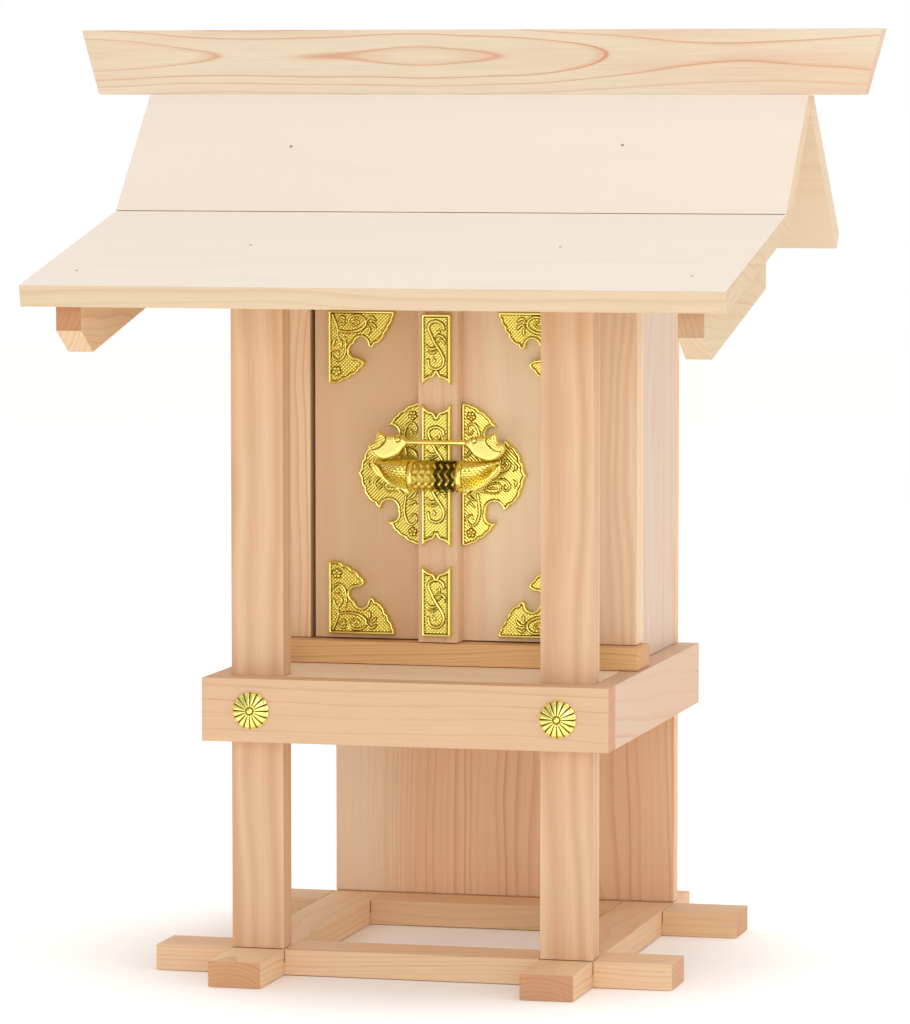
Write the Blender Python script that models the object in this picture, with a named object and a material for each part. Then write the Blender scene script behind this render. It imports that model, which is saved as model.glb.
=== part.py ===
"""Household shinto shrine in plain cypress: posts on a crossed base, a cabinet with two doors, a gabled roof.

Metres, +Z up. X runs to the viewer's right, Y into the depth, and the front looks along -Y.
The origin lies under the middle of the whole shrine, on the surface that it stands on.
Each piece of wood or metal is one closed solid. Pieces that touch are drawn FIT apart.
"""
import math

import bmesh
import bpy
from mathutils import Matrix, Vector

# Clearances
FIT = 0.0003              # between two pieces that touch
DOOR_SIDE_GAP = 0.0025    # door leaf to jamb
DOOR_MEETING_GAP = 0.0010  # left leaf to right leaf
DOOR_RUN_GAP = 0.0006     # door leaf to sill and to header
ASTRAGAL_RUN_GAP = 0.0004  # cover strip to sill

# Crossed base: two cross beams (along X) half-lapped with two side beams (along Y)
BEAM_HEIGHT = 0.0122
CROSS_BEAM_WIDTH = 0.0285
CROSS_BEAM_SPACING = 0.1595   # front face to front face
CROSS_BEAM_OVERHANG = 0.0380  # beyond each side beam
SIDE_BEAM_WIDTH = 0.0256
SIDE_BEAM_OVERHANG = 0.0410   # beyond each cross beam

# Body: everything between the outer faces of the posts and walls
BODY_WIDTH = 0.1760
POST_WIDTH = 0.0254
POST_DEPTH = 0.0142
WALL_THICKNESS = 0.0110
BACK_THICKNESS = 0.0098

# Platform
PLATFORM_TOP = 0.1430
FRONT_BOARD_HEIGHT = 0.0302
FRONT_BOARD_THICKNESS = 0.0142
SIDE_BOARD_THICKNESS = 0.0103
FLOOR_THICKNESS = 0.0100
ROSETTE_DIAMETER = 0.0180
ROSETTE_THICKNESS = 0.0032
ROSETTE_PETALS = 16
ROSETTE_INSET = 0.0010        # from the middle of the post towards the middle of the shrine

# Door frame
SILL_SETBACK = 0.0600         # behind the front posts' front face
SILL_DEPTH = 0.0267
SILL_HEIGHT = 0.0107
SILL_HORN = 0.0032            # beyond each jamb
JAMB_WIDTH = 0.0244
JAMB_DEPTH = 0.0144
JAMB_PROUD = 0.0054           # beyond the outer face of the side wall
HEADER_HEIGHT = 0.0349

# Doors
DOOR_THICKNESS = 0.0090
DOOR_HEIGHT = 0.1614
HINGE_INSET = 0.0045          # hinge axis from the leaf's outer edge, halfway through the leaf
ASTRAGAL_WIDTH = 0.0194
ASTRAGAL_THICKNESS = 0.0112
ASTRAGAL_LAP = 0.0070         # over the edge of the right leaf

# Roof
ROOF_LENGTH = 0.3320
ROOF_BOARD = 0.0103
EAVE_SLOPE = math.radians(11.77)
EAVE_OVERHANG = 0.0806        # in front of the front posts
EAVE_BEARING = 0.0077         # of the eave board's rear end on the header
STEEP_BOARD_LEAD = 0.0053     # steep board's lower edge in front of the door frame
STEEP_BOARD_RISE = 0.0563
STEEP_BOARD_RUN = 0.0579
REAR_SLOPE = math.radians(43.05)
REAR_OVERHANG = 0.0160        # level, behind the back board
RIDGE_SEAT_WIDTH = 0.0156     # level top of the two sloping boards
RIDGE_THICKNESS = 0.0133
RIDGE_HEIGHT = 0.0319
RIDGE_OVERHANG = 0.0269       # bottom edge beyond each end of the roof
RIDGE_SPLAY = 0.0089          # top edge beyond the bottom edge
RAFTER_INSET = 0.0127         # from the roof's end to the rafter's outer face
RAFTER_WIDTH = 0.0123
RAFTER_HEIGHT = 0.0286
RAFTER_SETBACK = 0.0159       # behind the eave's front edge
RAFTER_LENGTH = 0.1497        # measured level
RAFTER_NOSE = 0.0142          # upright part of the front end
RAFTER_CHAMFER = 0.0181       # level length of the chamfer under the front end

# Gilt brass plates
PLATE_THICKNESS = 0.0040
RIM_WIDTH = 0.0008
RIM_SLOPE = 0.0004            # width of the slope from the rim down to the field
RIM_RISE = 0.0007
CORNER_PLATE_WIDTH = 0.0335
CORNER_PLATE_HEIGHT = 0.0352
CORNER_MARGIN_SIDE = 0.0077
CORNER_MARGIN_END = 0.0022
HALF_PLATE_WIDTH = 0.0320
HALF_PLATE_HEIGHT = 0.0684
STRIP_WIDTH = 0.0142
STRIP_END_LENGTH = 0.0345
STRIP_END_MARGIN = 0.0030
STRIP_MIDDLE_LENGTH = 0.0695
STRIP_FORK = 0.0064
SCROLL_RADIUS = 0.0040
SCROLL_WIDTH = 0.0014
SCROLL_RISE = 0.0008

# Lock, laid over the middle of the doors
LOCK_SHIFT = 0.0010           # from the middle of the cover strip to the right
LOCK_TOP_WIDTH = 0.0600
LOCK_BOTTOM_WIDTH = 0.0290
LOCK_HEIGHT = 0.0152
LOCK_DEPTH = 0.0088
LOCK_END_DEPTH = 0.0036
LOCK_BAND_WIDTH = 0.0250
LOCK_BAND_RISE = 0.0009
LOCK_WING_THICKNESS = 0.0016
BAR_DIAMETER = 0.0018
BAR_CLEARANCE = 0.0078        # open space between bar and lock body
BIRD_LENGTH = 0.0195
BIRD_HEIGHT = 0.0137
BIRD_THICKNESS = 0.0048
BIRD_SPACING = 0.0475         # middle to middle

# Places worked out from the sizes above. The whole stands centred on the origin.
BODY_OUT = BODY_WIDTH / 2
SIDE_BEAM_X = BODY_OUT - SIDE_BEAM_WIDTH / 2
SIDE_BEAM_LENGTH = CROSS_BEAM_SPACING + CROSS_BEAM_WIDTH + 2 * SIDE_BEAM_OVERHANG
CROSS_BEAM_END = BODY_OUT + CROSS_BEAM_OVERHANG
REACH_FRONT = max(EAVE_OVERHANG, SIDE_BEAM_OVERHANG)
REACH_REAR = CROSS_BEAM_SPACING + CROSS_BEAM_WIDTH + SIDE_BEAM_OVERHANG
BEAM_FACE_Y = (REACH_FRONT - REACH_REAR) / 2
REAR_BEAM_Y = BEAM_FACE_Y + CROSS_BEAM_SPACING
POST_X = BODY_OUT - POST_WIDTH / 2
POST_Y0 = BEAM_FACE_Y
POST_Y1 = POST_Y0 + POST_DEPTH
SIDE_BOARD_IN = BODY_OUT + FIT
SIDE_BOARD_OUT = SIDE_BOARD_IN + SIDE_BOARD_THICKNESS
RIM_BOTTOM = PLATFORM_TOP - FRONT_BOARD_HEIGHT
FRONT_BOARD_Y1 = POST_Y0 - FIT
FRONT_BOARD_Y0 = FRONT_BOARD_Y1 - FRONT_BOARD_THICKNESS
BACK_Y0 = REAR_BEAM_Y + CROSS_BEAM_WIDTH + FIT
BACK_Y1 = BACK_Y0 + BACK_THICKNESS
SILL_Y0 = BEAM_FACE_Y + SILL_SETBACK
SILL_Z0 = PLATFORM_TOP + FIT
SILL_TOP = SILL_Z0 + SILL_HEIGHT
JAMB_Y1 = SILL_Y0 + SILL_DEPTH
JAMB_Y0 = JAMB_Y1 - JAMB_DEPTH
JAMB_OUT = BODY_OUT + JAMB_PROUD
JAMB_IN = JAMB_OUT - JAMB_WIDTH
DOOR_Z0 = SILL_TOP + DOOR_RUN_GAP
DOOR_Z1 = DOOR_Z0 + DOOR_HEIGHT
DOOR_MID_Z = (DOOR_Z0 + DOOR_Z1) / 2
HEADER_Z0 = DOOR_Z1 + DOOR_RUN_GAP
HEADER_Z1 = HEADER_Z0 + HEADER_HEIGHT
DOOR_Y0 = JAMB_Y0
DOOR_Y1 = DOOR_Y0 + DOOR_THICKNESS
DOOR_OUT = JAMB_IN - DOOR_SIDE_GAP
DOOR_IN = DOOR_MEETING_GAP / 2
HINGE_X = DOOR_OUT - HINGE_INSET
HINGE_Y = (DOOR_Y0 + DOOR_Y1) / 2
ASTRAGAL_X1 = DOOR_IN + ASTRAGAL_LAP
ASTRAGAL_X0 = ASTRAGAL_X1 - ASTRAGAL_WIDTH
ASTRAGAL_MID = (ASTRAGAL_X0 + ASTRAGAL_X1) / 2
ASTRAGAL_Y1 = DOOR_Y0 - FIT
ASTRAGAL_Y0 = ASTRAGAL_Y1 - ASTRAGAL_THICKNESS
WALL_Y0 = JAMB_Y1 + FIT
WALL_Y1 = BACK_Y0 - FIT
EAVE_Y0 = BEAM_FACE_Y - EAVE_OVERHANG
EAVE_Y1 = JAMB_Y0 + EAVE_BEARING
KINK_Y = JAMB_Y0 - STEEP_BOARD_LEAD
STEEP_SLOPE = math.atan2(STEEP_BOARD_RISE, STEEP_BOARD_RUN)
RAFTER_X = ROOF_LENGTH / 2 - RAFTER_INSET - RAFTER_WIDTH / 2
LOCK_X = ASTRAGAL_MID + LOCK_SHIFT
LOCK_TOP_Z = DOOR_MID_Z + LOCK_HEIGHT / 2

COLLECTION = "household_shinto_shrine"


def new_material(name, colour, metallic, roughness):
    material = bpy.data.materials.new(name)
    material.use_nodes = True
    shader = material.node_tree.nodes["Principled BSDF"]
    shader.inputs["Base Color"].default_value = (*colour, 1.0)
    shader.inputs["Metallic"].default_value = metallic
    shader.inputs["Roughness"].default_value = roughness
    material.diffuse_color = (*colour, 1.0)
    return material


def cypress(name):
    return new_material("cypress_" + name, (0.80, 0.62, 0.42), 0.0, 0.55)


def brass(name):
    return new_material("gilt_brass_" + name, (0.80, 0.62, 0.16), 1.0, 0.25)


def add_piece(name, bm, material, collection, holder=None):
    """Make the finished bmesh the one object that stands for a piece.

    A fixed piece has its origin in the middle of its box. A piece that a holder carries
    has its origin on the holder, which stands on the joint's axis.
    """
    bmesh.ops.recalc_face_normals(bm, faces=bm.faces)
    corners = [v.co for v in bm.verts]
    middle = Vector([(min(c[i] for c in corners) + max(c[i] for c in corners)) / 2 for i in range(3)])
    origin = holder.location.copy() if holder else middle
    bmesh.ops.translate(bm, verts=bm.verts, vec=-origin)
    mesh = bpy.data.meshes.new(name)
    bm.to_mesh(mesh)
    bm.free()
    mesh.materials.append(material(name))
    piece = bpy.data.objects.new(name, mesh)
    collection.objects.link(piece)
    if holder:
        piece.parent = holder
    else:
        piece.location = origin
    return piece


def add_holder(name, place, collection):
    """Empty on a joint's axis."""
    holder = bpy.data.objects.new(name, None)
    holder.location = place
    holder.empty_display_size = 0.01
    collection.objects.link(holder)
    return holder


def join(piece, bm, material, cutters):
    """Unite a further shape with a piece, which stays one solid."""
    step = len(piece.modifiers) + 1
    tool = add_piece("%s_joined_%d" % (piece.name, step), bm, material, cutters)
    tool.hide_render = True
    tool.display_type = "WIRE"
    union = piece.modifiers.new("join_%d" % step, "BOOLEAN")
    union.operation = "UNION"
    union.solver = "EXACT"
    union.object = tool


def extruded(outline, place, travel):
    """Closed prism: an outline of 2-D points, laid out by place(), pushed along travel."""
    bm = bmesh.new()
    face = bm.faces.new([bm.verts.new(place(a, b)) for a, b in outline])
    pushed = bmesh.ops.extrude_face_region(bm, geom=[face])
    moved_verts = [v for v in pushed["geom"] if isinstance(v, bmesh.types.BMVert)]
    bmesh.ops.translate(bm, verts=moved_verts, vec=travel)
    return bm


def box(x0, x1, y0, y1, z0, z1):
    bm = bmesh.new()
    size = Vector((x1 - x0, y1 - y0, z1 - z0))
    centre = Vector((x0 + x1, y0 + y1, z0 + z1)) / 2
    bmesh.ops.create_cube(bm, size=1.0, matrix=Matrix.Translation(centre) @ Matrix.Diagonal(size.to_4d()))
    return bm


def along_x(outline, x0, x1):
    """Prism whose section is drawn in Y and Z."""
    return extruded(outline, lambda y, z: (x0, y, z), (x1 - x0, 0, 0))


def along_y(outline, y0, y1):
    """Prism whose section is drawn in X and Z."""
    return extruded(outline, lambda x, z: (x, y0, z), (0, y1 - y0, 0))


def along_z(outline, z0, z1):
    """Prism whose section is drawn in X and Y."""
    return extruded(outline, lambda x, y: (x, y, z0), (0, 0, z1 - z0))


def both_sides():
    return (("left", -1), ("right", 1))


def across(side, a, b):
    """The stretch from a to b on one side of the middle plane, lower value first."""
    return sorted((side * a, side * b))


# Roof planes, as heights over a place in the depth


def eave_under(y):
    return HEADER_Z1 + FIT + math.tan(EAVE_SLOPE) * (y - JAMB_Y0)


def eave_top(y):
    return eave_under(y) + ROOF_BOARD / math.cos(EAVE_SLOPE)


SEAT_Z = eave_top(KINK_Y) + STEEP_BOARD_RISE
SEAT_Y0 = KINK_Y + STEEP_BOARD_RUN
SEAT_Y1 = SEAT_Y0 + RIDGE_SEAT_WIDTH
APEX_Y = (SEAT_Y0 + SEAT_Y1) / 2


def steep_under(y):
    return SEAT_Z - math.tan(STEEP_SLOPE) * (SEAT_Y0 - y) - ROOF_BOARD / math.cos(STEEP_SLOPE)


def rear_top(y):
    return SEAT_Z - math.tan(REAR_SLOPE) * (y - SEAT_Y1)


def rear_under(y):
    return rear_top(y) - ROOF_BOARD / math.cos(REAR_SLOPE)


def notched_outline(start, end, height, notches, from_top):
    """Side view of a beam with rectangular notches, each (from, to), half its height deep."""
    outer = height if from_top else 0.0
    inner = height / 2 - FIT / 2 if from_top else height / 2 + FIT / 2
    edge = [(start, outer)]
    for a, b in notches:
        edge += [(a, outer), (a, inner), (b, inner), (b, outer)]
    edge.append((end, outer))
    far = 0.0 if from_top else height
    return edge + [(end, far), (start, far)]


def make_base(parts):
    notches = [(x - SIDE_BEAM_WIDTH / 2 - FIT, x + SIDE_BEAM_WIDTH / 2 + FIT) for x in (-SIDE_BEAM_X, SIDE_BEAM_X)]
    outline = notched_outline(-CROSS_BEAM_END, CROSS_BEAM_END, BEAM_HEIGHT, notches, True)
    for name, y in (("base_front_beam", BEAM_FACE_Y), ("base_rear_beam", REAR_BEAM_Y)):
        add_piece(name, along_y(outline, y, y + CROSS_BEAM_WIDTH), cypress, parts)
    notches = [(y - FIT, y + CROSS_BEAM_WIDTH + FIT) for y in (BEAM_FACE_Y, REAR_BEAM_Y)]
    start = BEAM_FACE_Y - SIDE_BEAM_OVERHANG
    outline = notched_outline(start, start + SIDE_BEAM_LENGTH, BEAM_HEIGHT, notches, False)
    for hand, side in both_sides():
        x = across(side, BODY_OUT - SIDE_BEAM_WIDTH, BODY_OUT)
        add_piece("base_%s_beam" % hand, along_x(outline, *x), cypress, parts)


def make_posts(parts):
    foot = BEAM_HEIGHT + FIT
    outline = [(POST_Y0, foot), (POST_Y1, foot), (POST_Y1, eave_under(POST_Y1) - FIT),
               (POST_Y0, eave_under(POST_Y0) - FIT)]
    for hand, side in both_sides():
        x = across(side, BODY_OUT - POST_WIDTH, BODY_OUT)
        add_piece("post_" + hand, along_x(outline, *x), cypress, parts)


def rosette(radius):
    """Chrysanthemum boss: a scalloped disc that is domed, with a raised button in the middle."""
    bm = bmesh.new()
    per_petal = 3
    count = ROSETTE_PETALS * per_petal
    depth_of_notch = 0.07
    levels = ((1.00, 0.0), (1.00, 0.40), (0.80, 0.78), (0.28, 0.60), (0.20, 1.0))
    rings = []
    for share, rise in levels:
        ring = []
        for i in range(count):
            turn = 2 * math.pi * i / count
            notch = depth_of_notch if i % per_petal == 0 and share > 0.5 else 0.0
            reach = radius * share * (1 - notch)
            ring.append(bm.verts.new((reach * math.cos(turn), -rise * ROSETTE_THICKNESS, reach * math.sin(turn))))
        rings.append(ring)
    bridge(bm, rings)
    return bm


def bridge(bm, rings):
    """Walls between neighbouring rings, and a cap on the first and the last."""
    count = len(rings[0])
    for low, high in zip(rings, rings[1:]):
        for i in range(count):
            j = (i + 1) % count
            bm.faces.new((low[i], low[j], high[j], high[i]))
    bm.faces.new(rings[0])
    bm.faces.new(rings[-1])


def make_platform(parts):
    front = box(-SIDE_BOARD_OUT, SIDE_BOARD_OUT, FRONT_BOARD_Y0, FRONT_BOARD_Y1, RIM_BOTTOM, PLATFORM_TOP)
    add_piece("platform_front_board", front, cypress, parts)
    y0 = FRONT_BOARD_Y1 + FIT
    for hand, side in both_sides():
        x = across(side, SIDE_BOARD_IN, SIDE_BOARD_OUT)
        board = box(x[0], x[1], y0, BACK_Y1, RIM_BOTTOM, PLATFORM_TOP)
        add_piece("platform_%s_board" % hand, board, cypress, parts)
    notch_x = BODY_OUT - POST_WIDTH - FIT
    notch_y = POST_Y1 + FIT
    y1 = BACK_Y0 - FIT
    plan = [(-notch_x, y0), (notch_x, y0), (notch_x, notch_y), (BODY_OUT, notch_y), (BODY_OUT, y1),
            (-BODY_OUT, y1), (-BODY_OUT, notch_y), (-notch_x, notch_y)]
    add_piece("platform_floor", along_z(plan, PLATFORM_TOP - FLOOR_THICKNESS, PLATFORM_TOP), cypress, parts)
    for hand, side in both_sides():
        bm = rosette(ROSETTE_DIAMETER / 2)
        place = (side * (POST_X - ROSETTE_INSET), FRONT_BOARD_Y0 - FIT, PLATFORM_TOP - FRONT_BOARD_HEIGHT / 2)
        bmesh.ops.translate(bm, verts=bm.verts, vec=place)
        add_piece("rosette_" + hand, bm, brass, parts)


def make_cabinet(parts):
    foot = BEAM_HEIGHT + FIT
    back = [(BACK_Y0, foot), (BACK_Y1, foot), (BACK_Y1, rear_under(BACK_Y1) - FIT),
            (BACK_Y0, rear_under(BACK_Y0) - FIT)]
    add_piece("back_board", along_x(back, -BODY_OUT, BODY_OUT), cypress, parts)
    foot = PLATFORM_TOP + FIT
    wall = [(WALL_Y0, foot), (WALL_Y1, foot), (WALL_Y1, rear_under(WALL_Y1) - FIT),
            (APEX_Y, min(rear_under(APEX_Y), steep_under(APEX_Y)) - FIT), (WALL_Y0, steep_under(WALL_Y0) - FIT)]
    for hand, side in both_sides():
        x = across(side, BODY_OUT - WALL_THICKNESS, BODY_OUT)
        add_piece("wall_" + hand, along_x(wall, *x), cypress, parts)
    half = JAMB_OUT + SILL_HORN
    add_piece("door_sill", box(-half, half, SILL_Y0, JAMB_Y1, SILL_Z0, SILL_TOP), cypress, parts)
    for hand, side in both_sides():
        x = across(side, JAMB_IN, JAMB_OUT)
        jamb = box(x[0], x[1], JAMB_Y0, JAMB_Y1, SILL_TOP + FIT, HEADER_Z0 - FIT)
        add_piece("jamb_" + hand, jamb, cypress, parts)
    header = box(-JAMB_OUT, JAMB_OUT, JAMB_Y0, JAMB_Y1, HEADER_Z0, HEADER_Z1)
    add_piece("door_header", header, cypress, parts)


def make_doors(parts, holders):
    for hand, side in both_sides():
        x = across(side, DOOR_IN, DOOR_OUT)
        leaf = box(x[0], x[1], DOOR_Y0, DOOR_Y1, DOOR_Z0, DOOR_Z1)
        add_piece("door_" + hand, leaf, cypress, parts, holders[hand])
    strip = box(ASTRAGAL_X0, ASTRAGAL_X1, ASTRAGAL_Y0, ASTRAGAL_Y1, SILL_TOP + ASTRAGAL_RUN_GAP, DOOR_Z1)
    add_piece("door_cover_strip", strip, cypress, parts, holders["left"])


def make_roof(parts):
    half = ROOF_LENGTH / 2
    lean = ROOF_BOARD * math.sin(EAVE_SLOPE)
    eave = [(EAVE_Y0, eave_top(EAVE_Y0)), (EAVE_Y0 + lean, eave_under(EAVE_Y0 + lean)),
            (EAVE_Y1, eave_under(EAVE_Y1)), (EAVE_Y1, eave_top(EAVE_Y1))]
    add_piece("roof_eave_board", along_x(eave, -half, half), cypress, parts)
    # The steep board's lower end is cut to lie on the eave board.
    climb = math.tan(STEEP_SLOPE) - math.tan(EAVE_SLOPE)
    foot_out = KINK_Y + FIT / climb
    foot_in = KINK_Y + (ROOF_BOARD / math.cos(STEEP_SLOPE) + FIT) / climb
    steep = [(foot_out, eave_top(foot_out) + FIT), (foot_in, eave_top(foot_in) + FIT),
             (APEX_Y - FIT / 2, steep_under(APEX_Y - FIT / 2)), (APEX_Y - FIT / 2, SEAT_Z), (SEAT_Y0, SEAT_Z)]
    add_piece("roof_steep_board", along_x(steep, -half, half), cypress, parts)
    low_out = BACK_Y1 + REAR_OVERHANG
    low_in = low_out - ROOF_BOARD * math.sin(REAR_SLOPE)
    rear = [(APEX_Y + FIT / 2, SEAT_Z), (APEX_Y + FIT / 2, rear_under(APEX_Y + FIT / 2)),
            (low_in, rear_under(low_in)), (low_out, rear_top(low_out)), (SEAT_Y1, SEAT_Z)]
    add_piece("roof_rear_board", along_x(rear, -half, half), cypress, parts)
    z0 = SEAT_Z + FIT
    low = half + RIDGE_OVERHANG
    high = low + RIDGE_SPLAY
    ridge = [(-low, z0), (low, z0), (high, z0 + RIDGE_HEIGHT), (-high, z0 + RIDGE_HEIGHT)]
    bm = along_y(ridge, APEX_Y - RIDGE_THICKNESS / 2, APEX_Y + RIDGE_THICKNESS / 2)
    add_piece("roof_ridge_board", bm, cypress, parts)
    y0 = EAVE_Y0 + RAFTER_SETBACK
    y1 = y0 + RAFTER_LENGTH
    y2 = y0 + RAFTER_CHAMFER
    rafter = [(y0, eave_under(y0) - FIT), (y0, eave_under(y0) - FIT - RAFTER_NOSE),
              (y2, eave_under(y2) - FIT - RAFTER_HEIGHT), (y1, eave_under(y1) - FIT - RAFTER_HEIGHT),
              (y1, eave_under(y1) - FIT)]
    for hand, side in both_sides():
        x = across(side, RAFTER_X - RAFTER_WIDTH / 2, RAFTER_X + RAFTER_WIDTH / 2)
        add_piece("roof_rafter_" + hand, along_x(rafter, *x), cypress, parts)


def rounded(corners, step=math.radians(34)):
    """Outline from (x, z, bulge) corners, run anticlockwise.

    The bulge bends the side that follows: above 0 outward, below 0 inward, 1 a half circle.
    """
    points = []
    for (x0, z0, bulge), (x1, z1, _) in zip(corners, corners[1:] + corners[:1]):
        a, b = Vector((x0, z0)), Vector((x1, z1))
        points.append(a)
        if bulge == 0:
            continue
        sweep = 4 * math.atan(bulge)
        chord = b - a
        to_left = Vector((-chord.y, chord.x))
        centre = (a + b) / 2 + to_left / (2 * math.tan(sweep / 2))
        count = max(1, round(abs(sweep) / step))
        for k in range(1, count):
            turn = sweep * k / count
            arm = a - centre
            points.append(centre + Vector((arm.x * math.cos(turn) - arm.y * math.sin(turn),
                                           arm.x * math.sin(turn) + arm.y * math.cos(turn))))
    return [tuple(p) for p in points]


def flipped(outline, flip_x=1, flip_z=1):
    """Mirror an outline and keep its anticlockwise run."""
    turned = [(flip_x * x, flip_z * z) for x, z in outline]
    return turned if flip_x * flip_z > 0 else turned[::-1]


def moved(outline, x, z):
    return [(x + a, z + b) for a, b in outline]


def plate(outline, y_back):
    """Stamped plate: the outline with a flat raised rim round a lower field, facing the front."""
    bm = extruded(outline, lambda x, z: (x, y_back, z), (0, -PLATE_THICKNESS, 0))
    bmesh.ops.recalc_face_normals(bm, faces=bm.faces)
    front = [f for f in bm.faces if f.normal.y < -0.9]
    for width in (RIM_WIDTH, RIM_SLOPE):
        bmesh.ops.inset_region(bm, faces=front, thickness=width, use_even_offset=True)
    field = {v for f in front for v in f.verts}
    bmesh.ops.translate(bm, verts=list(field), vec=(0, RIM_RISE, 0))
    return bm


def scroll(path, y_field):
    """Raised stem with sloping sides that follows a path of (x, z) points and thins to its end."""
    bm = bmesh.new()
    section = ((-1.0, -0.5), (-0.35, 1.0), (0.35, 1.0), (1.0, -0.5))
    rings = []
    for i, (x, z) in enumerate(path):
        (x0, z0), (x1, z1) = path[max(i - 1, 0)], path[min(i + 1, len(path) - 1)]
        run = Vector((x1 - x0, z1 - z0)).normalized()
        half = SCROLL_WIDTH / 2 * (1.0 - 0.4 * i / (len(path) - 1))
        rings.append([bm.verts.new((x - run.y * a * half, y_field - lift * SCROLL_RISE, z + run.x * a * half))
                      for a, lift in section])
    bridge(bm, rings)
    return bm


def curl(centre, start, hand, stem=None, turns=1.2, count=10):
    """Path of a curl: a stem from its foot, if there is one, then a spiral that winds in."""
    path = [stem] if stem else []
    for i in range(count):
        share = i / (count - 1)
        reach = SCROLL_RADIUS * (1 - 0.78 * share)
        turn = start + hand * 2 * math.pi * turns * share
        path.append((centre[0] + reach * math.cos(turn), centre[1] + reach * math.sin(turn)))
    return path


def corner_outline():
    """Corner plate from its corner: one arm along each edge and a double bite between the arms."""
    shape = [(0.00, 0.00, 0), (0.98, 0.00, 0), (0.925, 0.10, 0.28), (0.80, 0.37, 0.25), (0.64, 0.51, 0.35),
             (0.586, 0.455, -0.95), (0.385, 0.455, -0.95), (0.43, 0.645, 0.10), (0.535, 0.70, 0.28),
             (0.33, 0.90, 0.28), (0.10, 1.00, 0), (0.00, 1.00, 0)]
    return rounded([(a * CORNER_PLATE_WIDTH, b * CORNER_PLATE_HEIGHT, bulge) for a, b, bulge in shape])


def half_outline():
    """Half-round plate with its straight side at 0: lobes and a double bite above and below its tip."""
    low = [(0.00, -1.00, 0.22), (0.345, -0.864, 0.28), (0.531, -0.666, -0.80), (0.376, -0.524, -1.20),
           (0.64, -0.503, 0.30), (0.796, -0.34, 0.25), (0.936, -0.085, -0.12)]
    bulges = [corner[2] for corner in low]
    high = [(a, -b, bulge) for (a, b, _), bulge in zip(low[::-1], bulges[-2::-1] + [0])]
    shape = low + [(1.00, 0.00, -0.12)] + high
    return rounded([(a * HALF_PLATE_WIDTH, b * HALF_PLATE_HEIGHT / 2, bulge) for a, b, bulge in shape])


def strip_outline(length, fork_low, fork_high):
    """Strip plate about its middle. A forked end has two prongs beside a notch with a pointed middle."""
    half, end = STRIP_WIDTH / 2, length / 2

    def forked(side):
        """Corners of one forked end, for the side that runs towards +X, or towards -X when side is -1."""
        shoulder, point = 0.62 * STRIP_FORK, 0.24 * half
        return [(-side * half, -side * end, -0.30), (-side * point, side * (shoulder - end), 0.12),
                (0.0, side * (STRIP_FORK - end), 0.12), (side * point, side * (shoulder - end), -0.30),
                (side * half, -side * end, 0)]

    low = forked(1) if fork_low else [(-half, -end, 0), (half, -end, 0)]
    high = forked(-1) if fork_high else [(half, end, 0), (-half, end, 0)]
    return rounded(low + high)


def add_plate(name, outline, y_back, curls, parts, cutters, holder):
    piece = add_piece(name, plate(outline, y_back), brass, parts, holder)
    for path in curls:
        join(piece, scroll(path, y_back - PLATE_THICKNESS + RIM_RISE), brass, cutters)


def make_leaf_plates(parts, cutters, holders):
    """Four corner plates and two half-round plates, nailed to the leaves."""
    y_back = DOOR_Y0 - FIT
    reach_x, reach_z = CORNER_PLATE_WIDTH, CORNER_PLATE_HEIGHT
    for hand, side in both_sides():
        for level, up, z in (("bottom", 1, DOOR_Z0 + CORNER_MARGIN_END), ("top", -1, DOOR_Z1 - CORNER_MARGIN_END)):
            x = side * (DOOR_OUT - CORNER_MARGIN_SIDE)
            outline = moved(flipped(corner_outline(), -side, up), x, z)
            curls = []
            for a, b, start, turning in ((0.55, 0.19, math.pi, 1), (0.20, 0.62, -math.pi / 2, -1)):
                path = curl((a * reach_x, b * reach_z), start, -turning, (0.10 * reach_x, 0.10 * reach_z))
                curls.append([(x - side * px, z + up * pz) for px, pz in path])
            add_plate("corner_plate_%s_%s" % (level, hand), outline, y_back, curls, parts, cutters, holders[hand])
    for hand, side, x in (("left", -1, ASTRAGAL_X0 - FIT), ("right", 1, ASTRAGAL_X1 + FIT)):
        outline = moved(flipped(half_outline(), side), x, DOOR_MID_Z)
        curls = []
        for up in (-1, 1):
            for a, b, start, turning in ((0.22, 0.60, 0.0, 1), (0.66, 0.22, math.pi, -1)):
                centre = (a * HALF_PLATE_WIDTH, b * HALF_PLATE_HEIGHT / 2)
                path = curl(centre, start, turning)
                curls.append([(x + side * px, DOOR_MID_Z + up * pz) for px, pz in path])
        add_plate("half_plate_" + hand, outline, y_back, curls, parts, cutters, holders[hand])


def make_strip_plates(parts, cutters, holder):
    """Three strips down the cover strip. Each has two curls joined by one stem."""
    low = DOOR_Z0 + STRIP_END_MARGIN + STRIP_END_LENGTH / 2
    high = DOOR_Z1 - STRIP_END_MARGIN - STRIP_END_LENGTH / 2
    for name, length, z, forks in (("strip_plate_top", STRIP_END_LENGTH, high, (True, False)),
                                   ("strip_plate_middle", STRIP_MIDDLE_LENGTH, DOOR_MID_Z, (True, True)),
                                   ("strip_plate_bottom", STRIP_END_LENGTH, low, (False, True))):
        outline = moved(strip_outline(length, *forks), ASTRAGAL_MID, z)
        curls = []
        for up, forked in zip((-1, 1), forks):
            reach = length / 2 - SCROLL_RADIUS - 2 * RIM_WIDTH - (STRIP_FORK if forked else 0)
            start = math.pi if up > 0 else 0.0
            path = curl((0.0, up * reach), start, -1, (0.0, up * reach / 4))
            curls.append([(ASTRAGAL_MID + px, z + pz) for px, pz in path])
        add_plate(name, outline, ASTRAGAL_Y0 - FIT, curls, parts, cutters, holder)


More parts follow.
